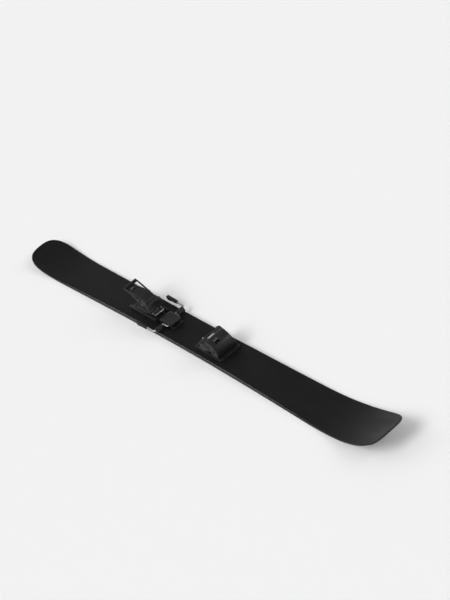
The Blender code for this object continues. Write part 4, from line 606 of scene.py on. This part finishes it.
def grainedFinish(name, look):
    # glass, rolled metal or wood: one grain along the ski gives tone and roughness
    mat, tree, shader = startMaterial(name, look["color"], look["roughness"], look["metallic"])
    grain = noise(tree, objectCoords(tree, look["stretch"]), *look["grain"])
    tone = tones(tree, grain, look["dark"], look["light"])
    linkFinish(tree, shader, tone, rangeOf(tree, grain, look["smooth"], look["dull"]))
    if "depth" in look:
        bump(tree, shader, grain, look["strength"], look["depth"])
    return mat


topsheetBlack = topsheetFinish(topsheetLook)
sidewallBlack = milledFinish("sidewallBlack", sidewallLook)
spacerBlack = milledFinish("spacerBlack", spacerLook)
edgeSteel = edgeFinish(edgeLook)
baseBlack = baseFinish(baseLook)
glassLaminate = grainedFinish("glassLaminate", laminateLook)
rolledAlloy = grainedFinish("rolledAlloy", alloyLook)
coreWood = grainedFinish("coreWood", woodLook)


# the ski's layers, smooth along the whole length

def buildSki():
    hold = layers["bond"]
    inset, topInset = layers["inset"], layers["inset"] + layers["slant"]
    edgeWidth, edgeZ = layers["edgeWidth"], layers["edgeHeight"]
    flangeWidth, flangeZ = edgeWidth + layers["edgeFlange"], edgeZ - layers["edgeFlangeHeight"]
    coreTail, coreTip = skiSide["coreTail"], skiSide["coreTip"]

    def groove(x):
        # the steel edges stop short of the tip and the tail, where the base runs out to the rim
        return edgeWidth + layers["sideBond"] if edgeTail < x < edgeTip else inset

    shoulder = flangeZ - hold
    base = [(groove, level(0)), (groove, level(shoulder))]
    base += [(inset, level(shoulder + layers["shoulderStep"])), (inset, level(edgeZ))]
    meshPiece("runningBase", wholeSkin(base), baseBlack, replaced=("base",))
    bend = layers["edgeRound"]
    edge = [
        (bend, level(0)), (0, level(bend)), (0, level(edgeZ - bend)), (bend, level(edgeZ)),
        (flangeWidth, level(edgeZ)), (flangeWidth, level(flangeZ)),
        (edgeWidth, level(flangeZ)), (edgeWidth, level(0)),
    ]
    wallTop, wallInner = underTop(upperStack - hold), inset + layers["sidewallWidth"]
    wall = [
        (inset, level(lowerStack)),
        (inset + layers["wallLip"], level(lowerStack + layers["wallLipHeight"])),
        (topInset, wallTop), (wallInner, wallTop), (wallInner, level(lowerStack)),
    ]
    for side, mirrored in (("left", False), ("right", True)):
        bm = sideStrip(edge, edgeTail, edgeTip, mirrored)
        meshPiece("steelEdge_" + side, bm, edgeSteel, replaced=("edge_" + side,))
        bm = sideStrip(wall, coreTail, coreTip, mirrored)
        replaced = ("sidewall_" + side,)
        meshPiece("sidewallStrip_" + side, bm, sidewallBlack, replaced=replaced)
    bm = wholeSkin([(inset, level(edgeZ)), (inset, level(lowerStack))])
    meshPiece("lowerGlass", bm, glassLaminate, replaced=("lower_laminate",))
    sheet = [(topInset, wallTop), (topInset, underTop(topSkins))]
    bm = wholeSkin(sheet, low=coreTail, high=coreTip)
    meshPiece("alloySheet", bm, rolledAlloy, replaced=("metal_sheet",))
    bm = wholeSkin([(topInset, underTop(topSkins)), (topInset, underTop(layers["topsheet"]))])
    meshPiece("upperGlass", bm, glassLaminate, replaced=("upper_laminate",))
    spacer = [(inset, level(lowerStack)), (topInset, underTop(topSkins))]
    bm = wholeSkin(spacer, low=coreTip + layers["spacerGap"])
    meshPiece("tipSpacerPlate", bm, spacerBlack, replaced=("tip_spacer",))
    bm = wholeSkin(spacer, high=coreTail - layers["spacerGap"])
    meshPiece("tailSpacerPlate", bm, spacerBlack, replaced=("tail_spacer",))
    top = [(topInset, underTop(layers["topsheet"]))] + corner(topInset, 0, layers["topRound"])
    top += [(topInset + reach, underTop(0)) for reach in layers["topRim"]]
    bm = wholeSkin(top, layers["topColumns"])
    meshPiece("topsheetSkin", bm, topsheetBlack, replaced=("topsheet",))
    nodes["wood_core"].data.materials.clear()
    nodes["wood_core"].data.materials.append(coreWood)
    print("ski skins built")


buildSki()


# the binding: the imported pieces, with softened edges and their own finishes

dressLook = {
    "weld": 0.01 * mm,
    "segments": 2,
    "flatAngle": 1.0,
    "bevelAngle": 28.0,
    "smoothAngle": 32.0,
    "roundAngle": 52.0,  # the wings' moulded sides turn in coarser steps
    "roundParts": ("toe_wing_left", "toe_wing_right"),
}


def smoothByAngle(angle):
    group = bpy.data.node_groups.new("smoothByAngle", "GeometryNodeTree")
    group.interface.new_socket("Geometry", in_out="INPUT", socket_type="NodeSocketGeometry")
    group.interface.new_socket("Geometry", in_out="OUTPUT", socket_type="NodeSocketGeometry")
    start = group.nodes.new("NodeGroupInput")
    end = group.nodes.new("NodeGroupOutput")
    faces = group.nodes.new("GeometryNodeSetShadeSmooth")
    faces.domain = "FACE"
    edges = group.nodes.new("GeometryNodeSetShadeSmooth")
    edges.domain = "EDGE"
    bend = group.nodes.new("GeometryNodeInputMeshEdgeAngle")
    less = group.nodes.new("FunctionNodeCompare")
    less.operation = "LESS_THAN"
    less.inputs["B"].default_value = math.radians(angle)
    group.links.new(start.outputs[0], faces.inputs["Geometry"])
    group.links.new(faces.outputs["Geometry"], edges.inputs["Geometry"])
    group.links.new(bend.outputs["Unsigned Angle"], less.inputs["A"])
    group.links.new(less.outputs["Result"], edges.inputs["Shade Smooth"])
    group.links.new(edges.outputs["Geometry"], end.inputs[0])
    return group


angleGroup = smoothByAngle(dressLook["smoothAngle"])
roundGroup = smoothByAngle(dressLook["roundAngle"])


def dress(name, mat, soften):
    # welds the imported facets, clears the flat ones, softens the edges
    piece = nodes[name]
    rounded = name in dressLook["roundParts"]
    piece.data.materials.clear()
    piece.data.materials.append(mat)
    weld = piece.modifiers.new("weld", "WELD")
    weld.merge_threshold = dressLook["weld"]
    if soften:
        flat = piece.modifiers.new("flat", "DECIMATE")
        flat.decimate_type = "DISSOLVE"
        flat.angle_limit = math.radians(dressLook["flatAngle"])
        bevel = piece.modifiers.new("soften", "BEVEL")
        bevel.width = soften
        bevel.segments = dressLook["segments"]
        bevel.limit_method = "ANGLE"
        bevel.angle_limit = math.radians(dressLook["roundAngle" if rounded else "bevelAngle"])
        bevel.miter_outer = "MITER_ARC"
        bevel.harden_normals = False
    shade = piece.modifiers.new("shade", "NODES")
    shade.node_group = roundGroup if rounded else angleGroup


coatLook = {
    "gloss": 0.26,
    "cloudScale": 38.0,
    "darkShare": 0.85,
    "lightShare": 1.35,
    "rubScale": 120.0,
    "smoother": 0.06,
    "duller": 0.08,
    "strength": 0.3,
}

coats = {
    "housingBlack": {
        "color": (0.011, 0.011, 0.0117), "rubbed": (0.045, 0.045, 0.047),
        "roughness": 0.40, "grain": 900.0, "depth": 0.00004,
    },
    "nylonBlack": {
        "color": (0.016, 0.016, 0.0172), "rubbed": (0.055, 0.055, 0.057),
        "roughness": 0.52, "grain": 1600.0, "depth": 0.00005,
    },
    "sliderGrey": {
        "color": (0.25, 0.255, 0.26), "rubbed": (0.33, 0.33, 0.335),
        "roughness": 0.36, "grain": 700.0, "depth": 0.00002,
    },
    "treadRubber": {
        "color": (0.012, 0.012, 0.0125), "rubbed": (0.03, 0.03, 0.031),
        "roughness": 0.62, "grain": 1400.0, "depth": 0.00006,
    },
    "slideStrip": {
        "color": (0.42, 0.425, 0.43), "rubbed": (0.34, 0.34, 0.345),
        "roughness": 0.26, "grain": 500.0, "depth": 0.00001,
    },
    "scaleInk": {
        "color": (0.62, 0.62, 0.61), "rubbed": (0.48, 0.48, 0.47),
        "roughness": 0.5, "grain": 1200.0, "depth": 0.00001,
    },
}


def coatedFinish(name):
    # powder coat or moulded plastic: fine grain, soft clouding, rubbed spots
    look, shared = coats[name], coatLook
    color, roughness = look["color"], look["roughness"]
    mat, tree, shader = startMaterial(name, color, roughness)
    shader.inputs["Specular IOR Level"].default_value = shared["gloss"]
    peel = noise(tree, objectCoords(tree), look["grain"], 3, 0.55)
    cloud = noise(tree, objectCoords(tree), shared["cloudScale"], 5, 0.6)
    dark, light = shaded(color, shared["darkShare"]), shaded(color, shared["lightShare"])
    tone = tones(tree, cloud, dark, light, 0.3, 0.72)
    rub = noise(tree, objectCoords(tree, (1, 1.6, 1.3)), shared["rubScale"], 6, 0.72)
    spots = rangeOf(tree, rub, 0.0, 0.5, 0.66, 0.76)
    rough = rangeOf(tree, cloud, roughness - shared["smoother"], roughness + shared["duller"])
    linkFinish(tree, shader, mixColors(tree, spots, tone, look["rubbed"]), rough)
    bump(tree, shader, peel, shared["strength"], look["depth"])
    return mat


steelLook = {
    "cloudScale": 90.0,
    "darkShare": 0.82,
    "lightShare": 1.12,
    "smoother": 0.08,
    "duller": 0.1,
    "strength": 0.15,
    "depth": 0.00002,
}

steels = {
    "platedSteel": {"color": (0.55, 0.55, 0.56), "roughness": 0.28, "stretch": (240, 240, 240)},
    "oxideSteel": {"color": (0.11, 0.11, 0.115), "roughness": 0.38, "stretch": (300, 300, 300)},
    "springSteel": {"color": (0.38, 0.38, 0.39), "roughness": 0.30, "stretch": (500, 60, 500)},
}


def steelFinish(name):
    look, shared = steels[name], steelLook
    color, roughness = look["color"], look["roughness"]
    mat, tree, shader = startMaterial(name, color, roughness, 1.0)
    drawn = noise(tree, objectCoords(tree, look["stretch"]), 1.0, 4, 0.6)
    cloud = noise(tree, objectCoords(tree), shared["cloudScale"], 5, 0.6)
    dark, light = shaded(color, shared["darkShare"]), shaded(color, shared["lightShare"])
    rough = rangeOf(tree, drawn, roughness - shared["smoother"], roughness + shared["duller"])
    linkFinish(tree, shader, tones(tree, cloud, dark, light), rough)
    bump(tree, shader, drawn, shared["strength"], shared["depth"])
    return mat


springSteel = steelFinish("springSteel")
finishes = {  # for each slot, its finish and how far its edges are softened
    "housing": (coatedFinish("housingBlack"), 0.5 * mm),
    "plastic": (coatedFinish("nylonBlack"), 0.4 * mm),
    "slider": (coatedFinish("sliderGrey"), 0.3 * mm),
    "steel": (steelFinish("platedSteel"), 0.15 * mm),
    "dark_steel": (steelFinish("oxideSteel"), 0.0),
    "spring": (springSteel, 0.0),
}
slotOf = {part["node"]: part["material_slot"] for part in frame["record"]["subparts"]}
for nodeName, slotName in slotOf.items():
    if slotName in finishes:
        dress(nodeName, *finishes[slotName])
print("binding dressed")


# fine moulded and printed detail on the binding

barShape = {
    "ends": ((0, 0.3), (0.2, 0.8), (0.6, 1)),  # widths from an end, share of the full size there
    "sides": 8,
}


def bars(name, runs, up, width, height, mat, body):
    # half-round bars with tapered ends, in millimetres, standing out of a face that looks along up
    bm = bmesh.new()
    width, height, sides = width * mm, height * mm, barShape["sides"]
    for start, end in runs:
        start, end = Vector(start) * mm, Vector(end) * mm
        along = (end - start).normalized()
        across = Vector(up).cross(along).normalized()
        rise = along.cross(across)
        length = (end - start).length
        profile = [(reach * width, share) for reach, share in barShape["ends"]]
        profile += [(length - reach, share) for reach, share in reversed(profile)]
        rings = []
        for reach, share in profile:
            ring = []
            for i in range(sides + 1):
                angle = math.pi * i / sides
                point = start + along * reach + across * (width / 2 * share * math.cos(angle))
                ring.append(bm.verts.new(point + rise * (height * share * math.sin(angle))))
            rings.append(ring)
        tube(bm, rings)
    bmesh.ops.recalc_face_normals(bm, faces=bm.faces)
    return meshPiece(name, bm, mat, body, smooth=50)


def roundedPlate(name, low, high, top, thickness, radius, mat, body, slots):
    # a thin flat insert with round corners and round-ended slots, in millimetres
    def loop(x0, y0, x1, y1, r, steps=8):
        right, left, back, front = x1 - r, x0 + r, y1 - r, y0 + r
        turns = ((right, back, 0), (left, back, 90), (left, front, 180), (right, front, 270))
        points = []
        for cx, cy, start in turns:
            for i in range(steps + 1):
                angle = math.radians(start + 90 * i / steps)
                points.append((cx + r * math.cos(angle), cy + r * math.sin(angle)))
        return points

    loops = [loop(*low, *high, radius)]
    for x0, y0, x1, y1 in slots:
        loops.append(loop(x0, y0, x1, y1, min(x1 - x0, y1 - y0) / 2 - 0.01))
    bm = bmesh.new()
    rim = []
    for points in loops:
        ring = [bm.verts.new((x * mm, y * mm, top * mm)) for x, y in points]
        rim += [bm.edges.new((a, b)) for a, b in zip(ring, ring[1:] + ring[:1])]
    filled = bmesh.ops.triangle_fill(
        bm, edges=rim, use_beauty=True, use_dissolve=False, normal=(0, 0, 1))
    faces = [f for f in filled["geom"] if isinstance(f, bmesh.types.BMFace)]
    bmesh.ops.solidify(bm, geom=faces, thickness=thickness * mm)
    bmesh.ops.recalc_face_normals(bm, faces=bm.faces)
    return meshPiece(name, bm, mat, body, smooth=40)


treadRubber, slideStrip, scaleInk = map(coatedFinish, ("treadRubber", "slideStrip", "scaleInk"))

pedalTread = {
    "x": (-166, -159.5, -153, -146.5, -140, -133.5),
    "reach": 15.5,
    "z": 36.0,
    "width": 3.0,
    "height": 0.45,
}

wearStrip = {
    "low": (48.5, -21),
    "high": (87.5, 21),
    "top": 34.25,
    "thickness": 0.24,
    "corner": 4,
    "slotX": (54, 82),
    "slotY": (-12, -4, 4, 12),
    "slotReach": 1.1,
}

leverGrip = {
    "x": (-311.3, -313.4, -315.5),
    "reach": 13,
    "front": (-292.0, 99.0),  # x and z where the lever's sloping top begins and ends
    "rear": (-317.0, 107.2),
    "width": 1.3,
    "height": 0.55,
}

footRibs = {
    "x": (-208, -213.5, -219, -224.5, -230, -235.5, -241),
    "y": 65.33,
    "low": 23.4,
    "high": 29.2,
    "width": 1.7,
    "height": 0.55,
}


def buildTreads(tread, strip, grip, rib):
    runs = [((x, -tread["reach"], tread["z"]), (x, tread["reach"], tread["z"])) for x in tread["x"]]
    bars("pedalTread", runs, (0, 0, 1), tread["width"], tread["height"],
         treadRubber, "brake_pedal")
    (x0, x1), reach = strip["slotX"], strip["slotReach"]
    slots = [(x0, y - reach, x1, y + reach) for y in strip["slotY"]]
    roundedPlate("slideStrip", strip["low"], strip["high"], strip["top"], strip["thickness"],
                 strip["corner"], slideStrip, "afd_plate", slots)
    (frontX, frontZ), (rearX, rearZ) = grip["front"], grip["rear"]
    lean = (frontZ - rearZ) / (frontX - rearX)
    grips = []
    for x in grip["x"]:
        z = frontZ + (x - frontX) * lean
        grips.append(((x, -grip["reach"], z), (x, grip["reach"], z)))
    bars("leverGrip", grips, (-lean, 0, 1), grip["width"], grip["height"],
         treadRubber, "heel_lever")
    for side, out in (("left", 1), ("right", -1)):
        y = rib["y"] * out
        ribs = [((x, y, rib["low"]), (x, y, rib["high"])) for x in rib["x"]]
        bars("footRibs_" + side, ribs, (0, out, 0), rib["width"], rib["height"],
             treadRubber, "brake_arms")


hoodRoof = {  # in millimetres, the sloping roof of the toe hood behind its setting window
    "x": 112.0,
    "z": 73.0,
    "fall": 3.0,
    "run": 18.0,
}


def onHood(x, lift=0.0):
    return hoodRoof["z"] - (x - hoodRoof["x"]) * hoodRoof["fall"] / hoodRoof["run"] + lift


def figures(name, labels, turn, tilt, look, mat, body):
    # plain numbers of a setting scale, as thin raised print
    facing = Matrix.Rotation(tilt, 4, "Y") @ Matrix.Rotation(math.radians(turn), 4, "Z")
    bm = bmesh.new()
    for label, (x, y, z) in labels:
        text = bpy.data.curves.new(name, "FONT")
        text.body = label
        text.size = look["figureSize"] * mm
        text.align_x, text.align_y = "CENTER", "CENTER"
        text.extrude = look["figureHeight"] * mm
        text.resolution_u = look["figureSteps"]
        holder = bpy.data.objects.new(name, text)
        mesh = bpy.data.meshes.new_from_object(holder)
        mesh.transform(Matrix.Translation(Vector((x, y, z)) * mm) @ facing)
        bm.from_mesh(mesh)
        bpy.data.objects.remove(holder)
        bpy.data.curves.remove(text)
        bpy.data.meshes.remove(mesh)
    return meshPiece(name, bm, mat, body, smooth=30)


toeScale = {
    "ticks": 5,
    "firstY": -15.0,
    "pitch": 2.5,
    "startX": 128.9,
    "endX": 126.9,
    "longer": 0.9,  # for the numbered ticks
    "tickWidth": 0.55,
    "tickHeight": 0.12,
    "figureX": 123.6,
    "figureLift": 0.06,
    "figureTurn": 90,
    "figureSize": 3.0,
    "figureHeight": 0.05,
    "figureSteps": 3,
    "firstFigure": 4,
    "figureStep": 2,
}


def buildScale(look):
    tilt = math.atan2(hoodRoof["fall"], hoodRoof["run"])
    startX, figureX = look["startX"], look["figureX"]
    runs, labels = [], []
    for i in range(look["ticks"]):
        y = look["firstY"] + look["pitch"] * i
        numbered = i % 2 == 0
        endX = look["endX"] - numbered * look["longer"]
        runs.append(((startX, y, onHood(startX)), (endX, y, onHood(endX))))
        if numbered:
            label = str(look["firstFigure"] + look["figureStep"] * i)
            labels.append((label, (figureX, y, onHood(figureX, look["figureLift"]))))
    up = (math.sin(tilt), 0, math.cos(tilt))
    bars("toeScaleTicks", runs, up, look["tickWidth"], look["tickHeight"],
         scaleInk, "ski")
    figures("toeScaleFigures", labels, look["figureTurn"], tilt, look, scaleInk, "ski")


springLook = {  # coil and wire are radii
    "toe": {"coil": 5.8 * mm, "wire": 1.4 * mm, "turns": 5, "travel": 8.5 * mm},
    "heel": {"coil": 6.3 * mm, "wire": 1.5 * mm, "turns": 6, "travel": 4.1 * mm},
    "heelNutRoom": 2.4 * mm,
    "endGap": 0.5 * mm,
    "stepsPerTurn": 28,
    "sides": 12,
    "smooth": 60,
}


def coilPath(start, axis, length, look):
    # wire centres of a compression spring whose end turns are closed up
    side = axis.orthogonal().normalized()
    other = axis.cross(side)
    endRise = 2 * look["wire"] + springLook["endGap"]
    steps, inner = springLook["stepsPerTurn"], look["turns"] - 2
    points = []
    for i in range(look["turns"] * steps + 1):
        turn = i / steps
        rise = min(turn, 1) * endRise + max(0.0, turn - (look["turns"] - 1)) * endRise
        rise += max(0.0, min(turn - 1, inner)) / inner * (length - 2 * endRise)
        out = side * math.cos(2 * math.pi * turn) + other * math.sin(2 * math.pi * turn)
        points.append(start + axis * rise + out * look["coil"])
    return points


def wireAlong(points, radius, sides):
    bm = bmesh.new()
    run = (points[1] - points[0]).normalized()
    normal = run.orthogonal().normalized()
    rings = []
    for i, point in enumerate(points):
        run = (points[min(i + 1, len(points) - 1)] - points[max(i - 1, 0)]).normalized()
        normal = (normal - run * normal.dot(run)).normalized()
        across = run.cross(normal)
        rings.append([
            bm.verts.new(point + (normal * math.cos(a) + across * math.sin(a)) * radius)
            for a in (2 * math.pi * k / sides for k in range(sides))
        ])
    tube(bm, rings)
    bmesh.ops.recalc_face_normals(bm, faces=bm.faces)
    return bm


def alongAxis(node, origin, axis):
    # where a node begins and ends along an axis
    reach = [(v.co - origin).dot(axis) for v in nodes[node].data.vertices]
    return min(reach), max(reach)


def springPiece(name, path, look, body, replaced):
    bm = wireAlong(path, look["wire"], springLook["sides"])
    return meshPiece(name, bm, springSteel, body, springLook["smooth"], replaced)


def buildToeSpring(look):
    # two halves, each carried by its own plunger
    low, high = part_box("toe_spring")
    middle = (Vector(low) + Vector(high)) / 2
    start = Vector((middle.x, low[1] + look["wire"], middle.z))
    length = high[1] - low[1] - 2 * look["wire"]
    path = coilPath(start, Vector((0, 1, 0)), length, look)
    half = len(path) // 2
    for side, points, end in (("left", path[half:], high[1]), ("right", path[:half + 1], low[1])):
        replaced = ("toe_spring",) if side == "left" else ()
        coil = springPiece("toeSpringCoil_" + side, points, look, "toe_plunger_" + side, replaced)
        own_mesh(coil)


def buildHeelSpring(look):
    joint = next(j for j in frame["record"]["behaviour"]["joints"] if j["name"] == "heel_piston")
    axis = Vector(joint["axis"]).normalized()
    centre = (Vector(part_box("heel_spring")[0]) + Vector(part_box("heel_spring")[1])) / 2
    first, last = alongAxis("heel_spring", centre, axis)
    last -= springLook["heelNutRoom"]
    length = last - first - 2 * look["wire"]
    path = coilPath(centre + axis * (first + look["wire"]), axis, length, look)
    coil = springPiece("heelSpringCoil", path, look, "heel_housing", ("heel_spring",))
    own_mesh(coil)
    print("springs:", round(length / mm, 1), "mm of heel coil")


buildTreads(pedalTread, wearStrip, leverGrip, footRibs)
buildScale(toeScale)
buildToeSpring(springLook["toe"])
buildHeelSpring(springLook["heel"])
print("binding detail built")


# camera, floor and light

viewLook = {
    "azimuth": 69.0,
    "elevation": 34.0,
    "roll": -28.0,
    "distance": 6.5,
    "lens": 135.0,
    "aim": (0.009, 0.118, 0.070),
}

studioLook = {
    "paper": (0.80, 0.80, 0.80),
    "dull": ((0.52, 0.52, 0.52), (0.55, 0.55, 0.55)),
    "roughness": 0.9,
    "paperGlow": 0.11,  # only what the camera and reflections see
    "wallGlow": 0.88,
    "reach": 80.0,
    "drop": 0.5 * mm,  # keeps the floor clear of the ski's running base
    "wallHeight": 16.0,
    "wallSides": 96,
    "air": 0.36,
}

lampLook = {
    "keySun": {"place": (1.2, -8.0, 9.2), "softness": 32.0, "strength": 1.65},
    "fillSun": {"place": (8.4, 6.4, 6.4), "softness": 36.0, "strength": 0.85},
    "backSun": {"place": (-8.0, -5.0, 8.0), "softness": 36.0, "strength": 0.40},
}


def studioPaper(name, look, shown, glow):
    # pale to the camera and in reflections, duller in the light it throws back
    mat, tree, shader = startMaterial(name, look["paper"], look["roughness"])
    path = tree.nodes.new("ShaderNodeLightPath")
    seen = mathNode(tree, "MAXIMUM", path.outputs["Is Camera Ray"], path.outputs["Is Glossy Ray"])
    seen = mathNode(tree, "MAXIMUM", seen, path.outputs["Is Transmission Ray"])
    dull = tones(tree, noise(tree, objectCoords(tree), 9.0, 3), *look["dull"])
    tree.links.new(mixColors(tree, seen, dull, shown), shader.inputs["Base Color"])
    shader.inputs["Emission Color"].default_value = (1, 1, 1, 1)
    tree.links.new(mathNode(tree, "MULTIPLY", seen, glow), shader.inputs["Emission Strength"])
    return mat


def stageSheet(name, points, faces, mat, drop):
    sheet = bpy.data.meshes.new(name)
    sheet.from_pydata(points, [], faces)
    sheet.materials.append(mat)
    obj = bpy.data.objects.new(name, sheet)
    obj.location = (0, 0, -drop)
    scene.collection.objects.link(obj)
    return obj


def buildStage(look):
    reach, sides = look["reach"], look["wallSides"]
    corners = [(-reach, -reach, 0), (reach, -reach, 0), (reach, reach, 0), (-reach, reach, 0)]
    floorPaper = studioPaper("studioPaper", look, look["paper"], look["paperGlow"])
    stageSheet("studioFloor", corners, [(0, 1, 2, 3)], floorPaper, look["drop"])
    ring, walls = [], []
    for i in range(sides):
        angle = 2 * math.pi * i / sides
        x, y = reach * math.cos(angle), reach * math.sin(angle)
        ring += [(x, y, 0), (x, y, look["wallHeight"])]
        after = (i + 1) % sides
        walls.append((2 * i, 2 * i + 1, 2 * after + 1, 2 * after))
    wallPaper = studioPaper("studioWallPaper", look, (0, 0, 0), look["wallGlow"])
    wall = stageSheet("studioWall", ring, walls, wallPaper, look["drop"])
    wall.visible_shadow = wall.visible_diffuse = False
    world = bpy.data.worlds.new("studioAir")
    world.use_nodes = True
    scene.world = world
    back = world.node_tree.nodes["Background"]
    back.inputs["Color"].default_value = (1, 1, 1, 1)
    back.inputs["Strength"].default_value = look["air"]


def softSun(name, look):
    lamp = bpy.data.lights.new(name, "SUN")
    lamp.angle = math.radians(look["softness"])
    lamp.energy = look["strength"]
    obj = bpy.data.objects.new(name, lamp)
    obj.location = look["place"]
    obj.rotation_euler = (-Vector(look["place"])).to_track_quat("-Z", "Y").to_euler()
    scene.collection.objects.link(obj)


def placeCamera(look):
    azimuth, elevation = math.radians(look["azimuth"]), math.radians(look["elevation"])
    flat = math.cos(elevation)
    back = Vector((math.sin(azimuth) * flat, -math.cos(azimuth) * flat, math.sin(elevation)))
    data = bpy.data.cameras.new("photoCamera")
    data.lens = look["lens"]
    camera = bpy.data.objects.new("photoCamera", data)
    turn = (-back).to_track_quat("-Z", "Y").to_matrix()
    turn = turn @ Matrix.Rotation(math.radians(look["roll"]), 3, "Z")
    place = Vector(look["aim"]) + back * look["distance"]
    camera.matrix_world = Matrix.Translation(place) @ turn.to_4x4()
    scene.collection.objects.link(camera)
    scene.camera = camera


buildStage(studioLook)
for name, look in lampLook.items():
    softSun(name, look)
placeCamera(viewLook)
scene.view_settings.view_transform = "Standard"
print("scene done")
